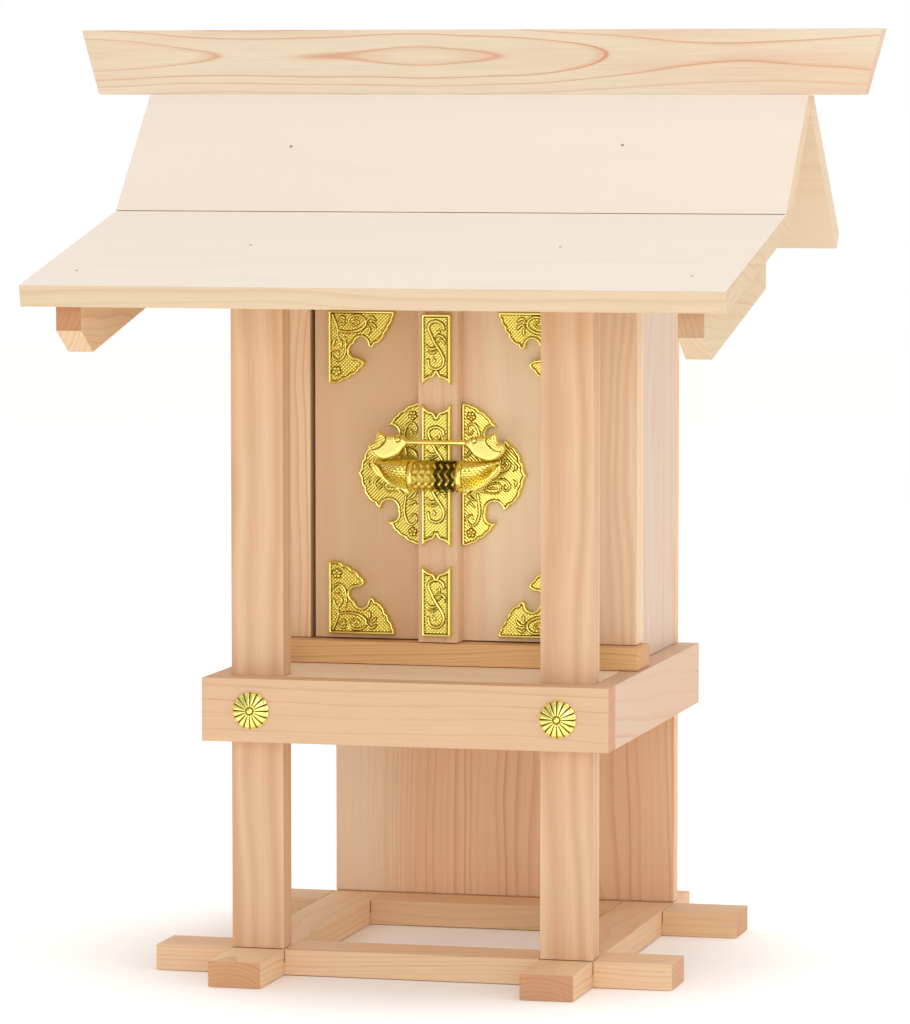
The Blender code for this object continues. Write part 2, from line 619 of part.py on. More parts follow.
def lock_barrel():
    """Half-round barrel, flat at the back and level on top, with a fuller band round the middle."""
    bm = bmesh.new()
    half_top, half_low, band = LOCK_TOP_WIDTH / 2, LOCK_BOTTOM_WIDTH / 2, LOCK_BAND_WIDTH / 2
    stations = [half_top, (half_top + half_low) / 2, half_low, band + LOCK_BAND_RISE, band, band / 2]
    around = 9
    rings = []
    for x in [-s for s in stations] + [0.0] + stations[::-1]:
        share = min(1.0, (half_top - abs(x)) / (half_top - half_low))
        grow = LOCK_BAND_RISE if abs(x) <= band else 0.0
        height = LOCK_HEIGHT * (0.12 + 0.88 * share)
        depth = LOCK_END_DEPTH + (LOCK_DEPTH - LOCK_END_DEPTH) * share + grow
        ring = []
        for k in range(around):
            turn = math.pi * k / (around - 1)
            ring.append(bm.verts.new((x, -depth * math.sin(turn),
                                      -height / 2 + (height / 2 + grow) * math.cos(turn))))
        rings.append(ring)
    bridge(bm, rings)
    return bm


def lock_wing():
    """Leaf-shaped wing along the slanting end of the barrel, on the right, about the barrel's top middle."""
    half_top, half_low = LOCK_TOP_WIDTH / 2, LOCK_BOTTOM_WIDTH / 2
    rim = 0.0016
    shape = [(half_low - rim, -LOCK_HEIGHT, 0), (half_low, -LOCK_HEIGHT - rim, 0.20),
             (half_low + 0.36 * (half_top - half_low), -0.88 * LOCK_HEIGHT, 0.15),
             (half_low + 0.80 * (half_top - half_low), -0.58 * LOCK_HEIGHT, 0.20),
             (half_top + rim, -0.25 * LOCK_HEIGHT, 0.25), (half_top, 0.0, 0), (half_top - rim, -rim, 0)]
    return rounded(shape)


def bird():
    """Small bird in side view about its middle: beak to the left, wing to the right, tail up."""
    shape = [(0.50, -0.03, 0.35), (0.32, 0.13, -0.08), (0.24, 0.50, -0.22), (0.04, 0.36, 0.03), (-0.31, 0.33, 0.22),
             (-0.50, 0.08, 0), (-0.36, -0.12, 0.10), (0.08, -0.50, 0.38)]
    return rounded([(a * BIRD_LENGTH, b * BIRD_HEIGHT, bulge) for a, b, bulge in shape], math.radians(26))


def make_lock(parts, cutters, holder):
    """A barrel lock across both leaves: the body, and the bar whose bird-shaped ends stand on it."""
    y_back = ASTRAGAL_Y0 - FIT - PLATE_THICKNESS - FIT
    barrel = lock_barrel()
    bmesh.ops.translate(barrel, verts=barrel.verts, vec=(LOCK_X, y_back, LOCK_TOP_Z))
    body = add_piece("lock_body", barrel, brass, parts, holder)
    for hand, side in both_sides():
        outline = moved(flipped(lock_wing(), side), LOCK_X, LOCK_TOP_Z)
        join(body, along_y(outline, y_back, y_back - LOCK_WING_THICKNESS), brass, cutters)
    y_bar = y_back - BIRD_THICKNESS / 2
    z_bar = LOCK_TOP_Z + LOCK_BAND_RISE + BAR_CLEARANCE
    rod = bmesh.new()
    lie = Matrix.Translation((LOCK_X, y_bar, z_bar)) @ Matrix.Rotation(math.pi / 2, 4, "Y")
    bmesh.ops.create_cone(rod, cap_ends=True, segments=8, radius1=BAR_DIAMETER / 2, radius2=BAR_DIAMETER / 2,
                          depth=BIRD_SPACING, matrix=lie)
    bar = add_piece("lock_bar", rod, brass, parts, holder)
    for hand, side in both_sides():
        outline = moved(flipped(bird(), side), LOCK_X + side * BIRD_SPACING / 2,
                        LOCK_TOP_Z + FIT + BIRD_HEIGHT / 2)
        join(bar, along_y(outline, y_back, y_back - BIRD_THICKNESS), brass, cutters)


def main():
    for old in list(bpy.data.objects):
        bpy.data.objects.remove(old, do_unlink=True)
    parts = bpy.data.collections.new(COLLECTION)
    cutters = bpy.data.collections.new("joined_shapes")
    bpy.context.scene.collection.children.link(parts)
    bpy.context.scene.collection.children.link(cutters)
    holders = {hand: add_holder("hinge_axis_" + hand, (side * HINGE_X, HINGE_Y, 0.0), parts)
               for hand, side in both_sides()}
    bpy.context.view_layer.update()
    make_base(parts)
    make_posts(parts)
    make_platform(parts)
    make_cabinet(parts)
    make_doors(parts, holders)
    make_roof(parts)
    make_leaf_plates(parts, cutters, holders)
    make_strip_plates(parts, cutters, holders["left"])
    make_lock(parts, cutters, holders["left"])


main()
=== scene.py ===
# %% [markdown]
# # A household shinto shrine in plain cypress
#
# The real shrine is planed, unvarnished cypress, nailed together, with stamped gilt brass on its
# doors. The boards and posts already stand in the frame at their true size. This lesson gives every
# piece its surface: eased edges and grain on the wood, and fine relief on the brass.

# %% Load the frame
import functools
import math

import bmesh
import bpy
import numpy as np
from mathutils import Matrix, Vector
from mathutils.bvhtree import BVHTree


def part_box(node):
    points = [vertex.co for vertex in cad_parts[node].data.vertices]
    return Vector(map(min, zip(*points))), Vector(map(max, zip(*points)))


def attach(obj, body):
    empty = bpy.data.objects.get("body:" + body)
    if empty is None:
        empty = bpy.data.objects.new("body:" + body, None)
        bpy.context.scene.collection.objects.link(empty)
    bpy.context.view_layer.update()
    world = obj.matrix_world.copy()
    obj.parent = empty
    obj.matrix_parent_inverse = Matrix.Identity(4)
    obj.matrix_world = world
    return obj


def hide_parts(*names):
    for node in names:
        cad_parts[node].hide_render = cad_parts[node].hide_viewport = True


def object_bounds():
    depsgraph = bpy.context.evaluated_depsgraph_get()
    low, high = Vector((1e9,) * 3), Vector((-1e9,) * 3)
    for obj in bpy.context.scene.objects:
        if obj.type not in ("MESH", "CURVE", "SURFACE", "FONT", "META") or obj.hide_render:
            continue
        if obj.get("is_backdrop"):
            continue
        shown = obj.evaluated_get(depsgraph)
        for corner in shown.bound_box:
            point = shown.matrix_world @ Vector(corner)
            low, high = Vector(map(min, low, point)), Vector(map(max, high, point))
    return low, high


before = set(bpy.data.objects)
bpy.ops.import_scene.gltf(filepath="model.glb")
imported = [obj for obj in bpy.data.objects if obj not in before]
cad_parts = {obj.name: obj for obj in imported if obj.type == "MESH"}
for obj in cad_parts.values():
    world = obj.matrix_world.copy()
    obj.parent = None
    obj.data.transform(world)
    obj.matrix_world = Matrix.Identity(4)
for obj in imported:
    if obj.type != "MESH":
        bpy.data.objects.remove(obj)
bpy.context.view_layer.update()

MM = 0.001

# %% [markdown]
# ## The camera
#
# The photograph was taken with a long lens from the right of the middle, a little above the doors.
# A long lens far away keeps the boards' edges almost parallel. The eye and the point that it looks
# at are given in metres in the frame, so the view holds for any size of picture.

# %% Camera
EYE = Vector((0.62390, -2.49261, 0.42093))
LOOK_AT = Vector((0.00154, 0.00580, 0.21619))
LENS_MM = 187.3
SENSOR_MM = 36.0


def aimed(place, target):
    """The turn that points a camera or a lamp, which look along their own minus Z, at a target."""
    return (Vector(target) - Vector(place)).to_track_quat("-Z", "Y").to_euler()


camera_data = bpy.data.cameras.new("studio_camera")
camera_data.lens = LENS_MM
camera_data.sensor_width = SENSOR_MM
camera_data.clip_end = 20.0
camera = bpy.data.objects.new("studio_camera", camera_data)
camera.location = EYE
camera.rotation_euler = aimed(EYE, LOOK_AT)
bpy.context.scene.collection.objects.link(camera)
bpy.context.scene.camera = camera
print("camera %.2f m away" % (LOOK_AT - EYE).length)


# %% [markdown]
# ## Colours
#
# A colour picked from a screen is an sRGB value, and a shader wants linear light. One function
# turns the hex value that a person reads into the numbers that the shader needs.

# %% Hex colour to linear light
def hex_colour(text):
    """#rrggbb in sRGB to linear red, green, blue and an alpha of one."""
    channels = [int(text[i:i + 2], 16) / 255 for i in (1, 3, 5)]
    linear = [c / 12.92 if c <= 0.04045 else ((c + 0.055) / 1.055) ** 2.4 for c in channels]
    return (*linear, 1.0)


print("middle grey is %.3f in linear light" % hex_colour("#808080")[0])

# %% [markdown]
# ## Adding nodes
#
# A material is a small graph of nodes. One helper adds any node with its settings and links, and
# gives back an output, so a finish reads as a chain of values that feed each other.

# %% One helper for every node
def add_node(tree, kind, *values, out=0, stops=(), sockets=(), **named):
    """Add a node, set it, link it, and give back one of its outputs.

    kind is its type in Blender without "ShaderNode". values go to its sockets in order. A name in
    small letters is a setting, and any other name is a socket, with underscores for spaces.
    sockets are (number, value) pairs, for nodes whose sockets share a name, and stops are the
    (position, colour or grey) pairs of a colour ramp.
    """
    node = tree.nodes.new("ShaderNode" + kind)
    wanted = [*enumerate(values), *sockets]
    for name, value in named.items():
        if name.islower():
            setattr(node, name, value)
        else:
            wanted.append((name.replace("_", " "), value))
    for socket, value in wanted:
        if isinstance(value, bpy.types.NodeSocket):
            tree.links.new(value, node.inputs[socket])
        else:
            node.inputs[socket].default_value = value
    if stops:
        elements = node.color_ramp.elements
        while len(elements) < len(stops):
            elements.new(0.5)
        for element, (position, value) in zip(elements, stops):
            element.position = position
            element.color = hex_colour(value) if isinstance(value, str) else (*[value] * 3, 1.0)
    return node.outputs[out] if node.outputs else None


def new_material(name):
    """An empty material, and the helper above with this material's tree already filled in."""
    material = bpy.data.materials.new(name)
    material.use_nodes = True
    material.node_tree.nodes.clear()
    return material, functools.partial(add_node, material.node_tree)


print("one helper adds every node")

# %% [markdown]
# ## Cypress
#
# Wood looks like wood because a tree is a stack of cones: each year adds a pale, wide ring and a
# thin, darker one. A saw that cuts through them draws straight lines on one face, flames on
# another and arcs on the end. So the grain here isn't painted on each face. It is a solid pattern
# of rings about a line, the pith, that lies outside the board, and each board has its own pith.
# Slow noise bends the rings along the board, because a real trunk is uneven, and a long wave, the
# bow, gives a board the broad sweep that a bent trunk leaves in it.

# %% Colours of cypress, and how a year darkens
PALE = "#f0d6b6"       # wide pale part of a year
WARM = "#cf9468"       # thin dark part of a year, pink-orange
BLUSH = "#e2ac86"      # broad rosy clouds of the heartwood
SAPWOOD = "#f6dfc2"    # the last years under the bark
END_GRAIN = "#d3a78e"  # what the cut ends are multiplied by
YEAR_SHAPES = {        # from the start of a year to its end: where, and how dark
    "plain": [(0.0, 0.12), (0.14, 0.0), (0.60, 0.10), (0.86, 0.80), (0.94, 1.0), (1.0, 0.12)],
    "broad": [(0.0, 0.35), (0.22, 0.0), (0.46, 0.40), (0.66, 0.80), (0.82, 0.70), (1.0, 0.35)],
    "thin": [(0.0, 0.15), (0.05, 0.0), (0.78, 0.04), (0.91, 0.35), (0.96, 1.0), (1.0, 0.15)],
}
AXES = {"X": (0.0, math.pi / 2, 0.0), "Y": (-math.pi / 2, 0.0, 0.0), "Z": (0.0, 0.0, 0.0)}
print("%d ways for a year to darken" % len(YEAR_SHAPES))

# %% [markdown]
# ## Years about a pith
#
# Two steps put a board back into its tree. Its places are turned into millimetres from the pith,
# with Z along the grain, and the distance from the pith is then divided into years. Three noises
# keep the years from looking drawn: slow waves bend them, a one-dimensional noise makes some wide
# and some narrow, and another gives each year a darkness of its own.

# %% From a board to its years
SLOW_PER_MM = (0.020, 0.020, 0.0060)   # waves 50 mm wide across the board and 170 mm long
WAVE_GAIN = 8.0                        # noise keeps near its middle, so it is made stronger
UNEVEN_PER_MM, UNEVEN_MM = 0.11, 5.0   # groups of wide and narrow years, 9 mm across
OWN_PER_YEAR = 0.37
OWN_DARKNESS = [(0.32, 0.15), (0.68, 1.0)]


def in_the_tree(add, along, pith_mm, tilt):
    """Places in a board, in mm from its pith and with Z along the grain."""
    place = add("TexCoord", out=3)
    to_mm = add("Mapping", place, Scale=(1 / MM, 1 / MM, 1 / MM))
    shifted = add("VectorMath", to_mm, pith_mm, operation="SUBTRACT")
    turned = add("Mapping", shifted, vector_type="TEXTURE", Rotation=AXES[along])
    return add("Mapping", turned, Rotation=(*tilt, 0.0))


def growth_rings(add, leaned, ring_mm, wave_mm, bow, year_shape):
    """The distance from the pith, the darkness within a year, and that times the year's own."""
    across, through, length = [add("SeparateXYZ", leaned, out=axis) for axis in range(3)]
    slow = add("Mapping", leaned, Scale=SLOW_PER_MM)
    waves = add("TexNoise", slow, Scale=1.0, Detail=2.0, Roughness=0.45)
    square = add("Math", through, through, operation="MULTIPLY")
    square = add("Math", across, across, square, operation="MULTIPLY_ADD")
    reach = add("Math", square, operation="SQRT")
    bent = add("Math", waves, WAVE_GAIN * wave_mm, reach, operation="MULTIPLY_ADD")
    height, sweep, start = bow
    turn = add("Math", length, 2 * math.pi / sweep, 2 * math.pi * start,
               operation="MULTIPLY_ADD")
    turn = add("Math", turn, operation="SINE")
    bent = add("Math", turn, height, bent, operation="MULTIPLY_ADD")
    slower = add("Math", bent, UNEVEN_PER_MM, operation="MULTIPLY")
    uneven = add("TexNoise", noise_dimensions="1D", W=slower, Scale=1.0, Detail=1.0)
    spread = add("Math", uneven, UNEVEN_MM, bent, operation="MULTIPLY_ADD")
    years = add("Math", spread, ring_mm, operation="DIVIDE")
    year = add("Math", years, operation="FRACT")
    dark = add("ValToRGB", year, stops=YEAR_SHAPES[year_shape])
    own = add("Math", years, OWN_PER_YEAR, operation="MULTIPLY")
    own = add("TexNoise", noise_dimensions="1D", W=own, Scale=1.0, Detail=1.0)
    own = add("ValToRGB", own, stops=OWN_DARKNESS)
    return reach, dark, add("Math", dark, own, operation="MULTIPLY")


print("waves of %.0f mm along the grain" % (1 / SLOW_PER_MM[2]))

# %% [markdown]
# ## Colour, cut ends and sheen
#
# Planed cypress without varnish has a dry satin face. The years tint the pale wood, rosy clouds
# and fine streaks lie over them, and the outer years can turn to cream. Cut ends drink light, so
# they are multiplied by a darker colour where the surface faces along the grain. A face that looks
# up is mixed towards a paler colour, which is painted light from above. The plane leaves the
# fibres standing by a tenth of a millimetre, which is all the bump.

# %% Planed cypress
CLOUD_PER_MM = (0.035, 0.035, 0.0045)   # clouds 30 mm wide and 220 mm long
CLOUD_FROM, CLOUD_FULL = 0.42, 0.72
FIBRE_PER_MM = (1.6, 1.6, 0.030)        # streaks 0.6 mm wide, because finer ones would not show
SAP_SHARE, PAINTED_TOP_LIGHT_SHARE = 0.8, 0.76        # how far sapwood and the painted top light hide what is below
FIBRE_BUMP_MM = 0.12


def cypress(name, along, pith_mm, ring_mm=3.2, wave_mm=2.0, pale=PALE, warm=WARM, contrast=0.45,
            clouds=0.30, tilt=(0.0, 0.0), bow=(0.0, 200.0, 0.0), year_shape="plain", end=0.55,
            top=None, sap=None):
    """Planed, unvarnished cypress. The grain runs along one axis, and pith_mm places the pith.

    ring_mm is the width of a year, and wave_mm is how far a ring strays. tilt turns the pith out of
    the board's direction, which opens straight lines into flames. bow is the height, the length
    and the start of the sweep. end is how much darker the cut ends are, top is the paler colour
    that upward faces are mixed towards as painted light, and sap gives the radii between which
    the wood turns to sapwood.
    """
    material, add = new_material("planed_cypress_" + name)
    leaned = in_the_tree(add, along, pith_mm, tilt)
    reach, dark, rings = growth_rings(add, leaned, ring_mm, wave_mm, bow, year_shape)
    rings = add("Math", rings, contrast, operation="MULTIPLY")
    cloud = add("Mapping", leaned, Scale=CLOUD_PER_MM)
    cloud = add("TexNoise", cloud, Scale=1.0, Detail=3.0, Roughness=0.55)
    cloud = add("ValToRGB", cloud, stops=[(CLOUD_FROM, 0.0), (CLOUD_FULL, clouds)])
    layers = [(rings, warm, "MIX"), (cloud, BLUSH, "MIX")]
    if sap:
        outer = add("MapRange", reach, sap[0], sap[1], interpolation_type="SMOOTHSTEP")
        outer = add("Math", outer, SAP_SHARE, operation="MULTIPLY")
        layers.append((outer, SAPWOOD, "MIX"))
    fibre = add("Mapping", leaned, Scale=FIBRE_PER_MM)
    fibre = add("TexNoise", fibre, Scale=1.0, Detail=3.0, Roughness=0.6)
    streak = add("ValToRGB", fibre, stops=[(0.35, 0.90), (0.65, 1.0)])
    layers.append((0.22 + 0.5 * contrast, streak, "MULTIPLY"))
    facing = add("TexCoord", out=1)
    # Painted light: faces that look up are mixed towards the top colour, as if lit from overhead.
    if top:
        upward = add("SeparateXYZ", facing, out=2)
        upward = add("ValToRGB", upward, stops=[(0.25, 0.0), (0.45, PAINTED_TOP_LIGHT_SHARE)])
        layers.append((upward, top, "MIX"))
    ending = add("SeparateXYZ", facing, out="XYZ".index(along))
    ending = add("Math", ending, operation="ABSOLUTE")
    ending = add("ValToRGB", ending, stops=[(0.60, 0.0), (0.92, end)])
    layers.append((ending, END_GRAIN, "MULTIPLY"))
    base = hex_colour(pale)
    for share, colour, blend in layers:
        colour = hex_colour(colour) if isinstance(colour, str) else colour
        base = add("Mix", share, data_type="RGBA", blend_type=blend, out=2,
                   sockets=[(6, base), (7, colour)])
    rough = add("ValToRGB", fibre, stops=[(0.3, 0.50), (0.7, 0.62)])
    grain = add("Math", fibre, 0.6, dark, operation="MULTIPLY_ADD")
    bump = add("Bump", Strength=0.20, Distance=FIBRE_BUMP_MM * MM, Height=grain)
    shader = add("BsdfPrincipled", Base_Color=base, Roughness=rough, Normal=bump, IOR=1.5,
                 Specular_IOR_Level=0.3)
    add("OutputMaterial", shader)
    return material


print("fibres drawn %.1f mm wide" % (1 / FIBRE_PER_MM[0]))

# %% [markdown]
# ## Easing the edges
#
# A plane and a wipe of sandpaper leave no edge truly sharp: each is rounded by about a quarter of
# a millimetre, which catches the light. The boards keep their solid from the frame. Three modifiers
# finish it: Weld joins its loose triangles, Decimate merges the flat ones into whole faces, and
# Bevel rounds the edges.

# %% Give a board its finish
EASED_MM = 0.25
JOINED_MM = 0.01
FLAT_WITHIN, EASED_FROM = math.radians(1.0), math.radians(25)


def finish_board(node, material):
    """Ease the edges of a board that is in the frame, and give it its wood."""
    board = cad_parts[node]
    board.modifiers.new("weld", "WELD").merge_threshold = JOINED_MM * MM
    flat = board.modifiers.new("flat_faces", "DECIMATE")
    flat.decimate_type = "DISSOLVE"
    flat.angle_limit = FLAT_WITHIN
    ease = board.modifiers.new("eased_edges", "BEVEL")
    ease.width = EASED_MM * MM
    ease.segments = 2
    ease.limit_method = "ANGLE"
    ease.angle_limit = EASED_FROM
    board.data.materials.clear()
    board.data.materials.append(material)


print("edges eased by %.2f mm" % EASED_MM)

# %% [markdown]
# ## Twenty-six boards
#
# The maker cut the shrine from many boards, and no two match: the roof is almost plain and creamy,
# the posts are striped, the ridge board shows long flames, and the sill is the darkest. Each row
# says which way a board's grain runs, where its pith was, and how strong its years are. The ridge
# board's pith lies close behind it and a little out of line, which draws the flames.

# %% Every board, its grain direction and its own pith
# Each pale colour is partly the board's own tone and partly painted light and shade: the tones were
# set to how bright each board looks where it stands, so the left leaf, in the post's shade, is
# painted darker than the right.
boards = {
    "base_front_beam": dict(along="X", pith_mm=(0, -70, -22), ring_mm=2.2, pale="#eec9a2",
        contrast=0.50),
    "base_rear_beam": dict(along="X", pith_mm=(0, 120, -30), pale="#e4be94", contrast=0.40),
    "base_left_beam": dict(along="Y", pith_mm=(-80, 0, -24), ring_mm=2.2, pale="#eecba0",
        contrast=0.55, end=0.66),
    "base_right_beam": dict(along="Y", pith_mm=(70, 0, -26), ring_mm=2.2, pale="#e8c39a",
        contrast=0.55, end=0.66),
    "post_left": dict(along="Z", pith_mm=(-112, -170, 0), ring_mm=3.9, wave_mm=0.9, pale="#e8c6a0",
        warm="#bd7c4a", contrast=0.85, year_shape="broad"),
    "post_right": dict(along="Z", pith_mm=(40, -165, 0), ring_mm=4.3, wave_mm=1.0, pale="#e8c6a0",
        warm="#bd7c4a", contrast=0.85, year_shape="broad"),
    "back_board": dict(along="Z", pith_mm=(34, 190, 0), ring_mm=2.4, wave_mm=1.0, pale="#f0c7a0",
        warm="#c4854f", contrast=0.55, clouds=0.25, sap=(108, 134)),
    "platform_front_board": dict(along="X", pith_mm=(0, -104, 178), ring_mm=7.0, pale="#e3bd98",
        warm="#bd8457", contrast=0.90, wave_mm=1.4, bow=(0.9, 190, 0.1), year_shape="thin"),
    "platform_left_board": dict(along="Y", pith_mm=(-140, 0, 160), ring_mm=5.0, pale="#ebc49f",
        contrast=0.5),
    "platform_right_board": dict(along="Y", pith_mm=(120, 0, 205), ring_mm=9.0, pale="#dcbea3",
        contrast=0.60, tilt=(0.10, 0.0)),
    "platform_floor": dict(along="X", pith_mm=(0, 20, 60), pale="#fde9cf", contrast=0.25,
        clouds=0.1),
    "door_sill": dict(along="X", pith_mm=(0, -20, 128), ring_mm=1.8, pale="#e9bd86", warm="#b57a42",
        contrast=0.55, clouds=0.1),
    "door_header": dict(along="X", pith_mm=(0, -50, 330), pale="#dfb384"),
    "jamb_left": dict(along="Z", pith_mm=(-120, -60, 0), ring_mm=2.4, pale="#f8dab2", contrast=0.5),
    "jamb_right": dict(along="Z", pith_mm=(50, -60, 0), ring_mm=2.8, pale="#f1d3b2", contrast=0.60,
        year_shape="broad"),
    "wall_left": dict(along="Z", pith_mm=(-180, 60, 0), pale="#ebd0b4"),
    "wall_right": dict(along="Z", pith_mm=(200, 60, 0), ring_mm=4.0, pale="#dec7b1", contrast=0.40),
    "door_left": dict(along="Z", pith_mm=(-30, 70, 0), ring_mm=7.0, pale="#e0c09a", contrast=0.30,
        year_shape="broad"),
    "door_right": dict(along="Z", pith_mm=(70, 90, 0), ring_mm=7.0, pale="#f1dab9", contrast=0.30,
        year_shape="broad"),
    "door_cover_strip": dict(along="Z", pith_mm=(-30, -60, 0), pale="#e6c5a0", contrast=0.35),
    # top on the roof boards is painted light: their upper faces are painted paler.
    "roof_eave_board": dict(along="X", pith_mm=(0, -100, 130), ring_mm=6.0, pale="#e0c9a8",
        warm="#c79d6c", contrast=0.40, clouds=0.05, top="#f1e8de", end=0.1),
    "roof_steep_board": dict(along="X", pith_mm=(0, 150, 210), ring_mm=7.0, pale="#e6d0ae",
        warm="#cfa673", contrast=0.30, clouds=0.05, top="#efe2d6", end=0.1),
    "roof_rear_board": dict(along="X", pith_mm=(0, 40, 260), ring_mm=5.0, pale="#e6d3b7",
        warm="#d2ac7c", contrast=0.35, clouds=0.05, top="#ecdfce", end=0.10),
    "roof_ridge_board": dict(along="X", pith_mm=(129, 74, 437), ring_mm=2.3, wave_mm=0.8,
        pale="#ecdac0", warm="#d4732a", contrast=0.95, clouds=0.55, tilt=(0.010, 0.0),
        bow=(0.6, 230, 0.30), year_shape="thin", end=0.20),
    "roof_rafter_left": dict(along="Y", pith_mm=(-180, 0, 330), ring_mm=2.0, pale="#e8c9a2",
        contrast=0.55, end=0.80),
    "roof_rafter_right": dict(along="Y", pith_mm=(180, 0, 330), ring_mm=2.0, pale="#dcc9a5",
        contrast=0.45),
}
for node, grain in boards.items():
    finish_board(node, cypress(node, **grain))
print("%d boards have their wood" % len(boards))

# %% [markdown]
# ## From a bmesh to a piece
#
# Each new piece is shaped in a bmesh, whose points are already in their place in the frame. It
# becomes a mesh with one material, on an object that stays at the origin.

# %% Bmesh to object
def piece_of(bm, name, material):
    """An object in the scene from a finished bmesh."""
    mesh = bpy.data.meshes.new(name)
    bm.to_mesh(mesh)
    bm.free()
    mesh.materials.append(material)
    piece = bpy.data.objects.new(name, mesh)
    bpy.context.scene.collection.objects.link(piece)
    return piece


print("pieces stay at the origin")

# %% [markdown]
# ## Nails
#
# The boards are held by thin wire nails, driven flush. The wire is steel with a dull coat of zinc,
# so all that shows is a grey-green head, under two millimetres wide. A low cone that stands a tenth
# of a millimetre proud is enough, as long as it follows the slope of the board.

# %% Zinc-coated steel wire
ZINC_SPOTS_PER_M = 2500.0   # mottling 0.4 mm wide


def zinc_coated_wire():
    """Drawn steel wire, dipped in zinc: grey with a green cast, mottled, with a soft shine."""
    material, add = new_material("zinc_coated_wire")
    place = add("TexCoord", out=3)
    spots = add("TexNoise", place, Scale=ZINC_SPOTS_PER_M, Detail=2.0)
    colour = add("ValToRGB", spots, stops=[(0.35, "#6f6c55"), (0.65, "#a39c80")])
    shader = add("BsdfPrincipled", Base_Color=colour, Roughness=0.45, Metallic=0.6)
    add("OutputMaterial", shader)
    return material


zinc = zinc_coated_wire()
print("made", zinc.name)

# %% [markdown]
# ## Where the nails are
#
# Four nails hold the eave board, two the steep board, and one at the back of each side the
# platform. Only their places seen from above are given. A ray from above finds the board's face
# there, so the heads sit on it whatever its slope.

# %% Nail heads
NAIL_MM, NAIL_TOP_MM = 1.7, 1.7 * 2 / 2.6
NAIL_PROUD_MM = 0.12
EAVE_NAILS = ((-147.2, -126.3), (-77.9, -74.3), (71.9, -73.7), (145.1, -126.8))
STEEP_NAILS = ((-86.0, 25.0), (79.7, 26.2))
SIDE_NAIL = (119.3, 129.2)            # back and up
EAVE_NORMAL = (0.0, -0.204, 0.979)    # the ways that the two roof boards face
STEEP_NORMAL = (0.0, -0.697, 0.717)


def nail_heads(name, places):
    """Round heads at places in metres, each with the way that it faces."""
    bm = bmesh.new()
    for place, facing in places:
        turn = Vector(facing).to_track_quat("Z", "Y").to_matrix().to_4x4()
        bmesh.ops.create_cone(bm, cap_ends=True, segments=20, radius1=NAIL_MM / 2 * MM,
                              radius2=NAIL_TOP_MM / 2 * MM, depth=2 * NAIL_PROUD_MM * MM,
                              matrix=Matrix.Translation(place) @ turn)
    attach(piece_of(bm, name, zinc), "shrine")
    print("%s: %d heads" % (name, len(places)))


def on_board(node, x, y, facing):
    """The point of a board's upper face at x and y, found by a ray from above."""
    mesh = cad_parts[node].data
    tree = BVHTree.FromPolygons([v.co for v in mesh.vertices], [p.vertices for p in mesh.polygons])
    return tree.ray_cast(Vector((x * MM, y * MM, 1.0)), Vector((0, 0, -1)))[0], facing


roof_nails = [on_board("roof_eave_board", x, y, EAVE_NORMAL) for x, y in EAVE_NAILS]
roof_nails += [on_board("roof_steep_board", x, y, STEEP_NORMAL) for x, y in STEEP_NAILS]
nail_heads("roof_nails", roof_nails)
side_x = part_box("platform_right_board")[1].x
back, up = (value * MM for value in SIDE_NAIL)
side_nails = [(Vector((side * side_x, back, up)), (side, 0, 0)) for side in (-1, 1)]
nail_heads("platform_nails", side_nails)

# %% [markdown]
# ## A film of glue
#
# The back board stands on the rear beam in a film of wood glue. Without it, light from behind
# shines through the joint, which no real butt joint lets through. Dried glue is amber and a little
# shiny. A thin block between the two boards is all it takes.

# %% Glue under the back board
GLUE_INSET_MM = 1.5


def dried_wood_glue():
    """Wood glue left to dry in a joint: plain amber, and a little shiny."""
    material, add = new_material("dried_wood_glue")
    add("OutputMaterial", add("BsdfPrincipled", Base_Color=hex_colour("#b98a5a"), Roughness=0.4))
    return material


def glue_film():
    board_low, board_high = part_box("back_board")
    beam_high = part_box("base_rear_beam")[1]
    inset = Vector((GLUE_INSET_MM, GLUE_INSET_MM, 0)) * MM
    low = Vector((board_low.x, board_low.y, beam_high.z)) + inset
    high = Vector((board_high.x, min(board_high.y, beam_high.y), board_low.z)) - inset
    bm = bmesh.new()
    size = high - low
    lie = Matrix.Translation((low + high) / 2) @ Matrix.Diagonal((*size, 1))
    bmesh.ops.create_cube(bm, size=1.0, matrix=lie)
    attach(piece_of(bm, "glue_film", dried_wood_glue()), "shrine")
    print("glue film %.2f mm thick" % (size.z / MM))


glue_film()

# %% [markdown]
# ## Outlines of the brass plates
#
# The plates are stamped from sheet with cusped outlines. An outline is a short list of corners.
# Each says how much the side after it bends: above zero it bulges outward, below zero it bites
# inward, and one is a half circle. The corners are shares of the plate's width and height, so the
# outline fits the plate in the frame.

# %% Corners and bulges to points
ARC_STEP = math.radians(9)


def rounded(corners, width=1.0, height=1.0):
    """Closed outline in mm, anticlockwise, from (across, up, bulge) corners."""
    corners = [(a * width, b * height, bulge) for a, b, bulge in corners]
    points = []
    for (x0, z0, bulge), (x1, z1, _) in zip(corners, corners[1:] + corners[:1]):
        start, chord = np.array((x0, z0)), np.array((x1 - x0, z1 - z0))
        points.append(start)
        if bulge == 0:
            continue
        sweep = 4 * math.atan(bulge)
        centre = start + chord / 2 + np.array((-chord[1], chord[0])) / (2 * math.tan(sweep / 2))
        count = max(2, round(abs(sweep) / ARC_STEP))
        for k in range(1, count):
            turn = sweep * k / count
            spin = np.array(((math.cos(turn), -math.sin(turn)), (math.sin(turn), math.cos(turn))))
            points.append(centre + spin @ (start - centre))
    return np.array(points)


print("an arc has a point every %.0f degrees" % math.degrees(ARC_STEP))

# %% [markdown]
# ## Drawing relief with distances
#
# A stamp presses sheet brass into rims, curls and leaves. Here each of them is a stroke: a smooth
# line with a width at every point. The height of the metal at a place depends only on how far it
# is from the plate's edge and from the nearest stroke, so the relief is a height over a fine grid.

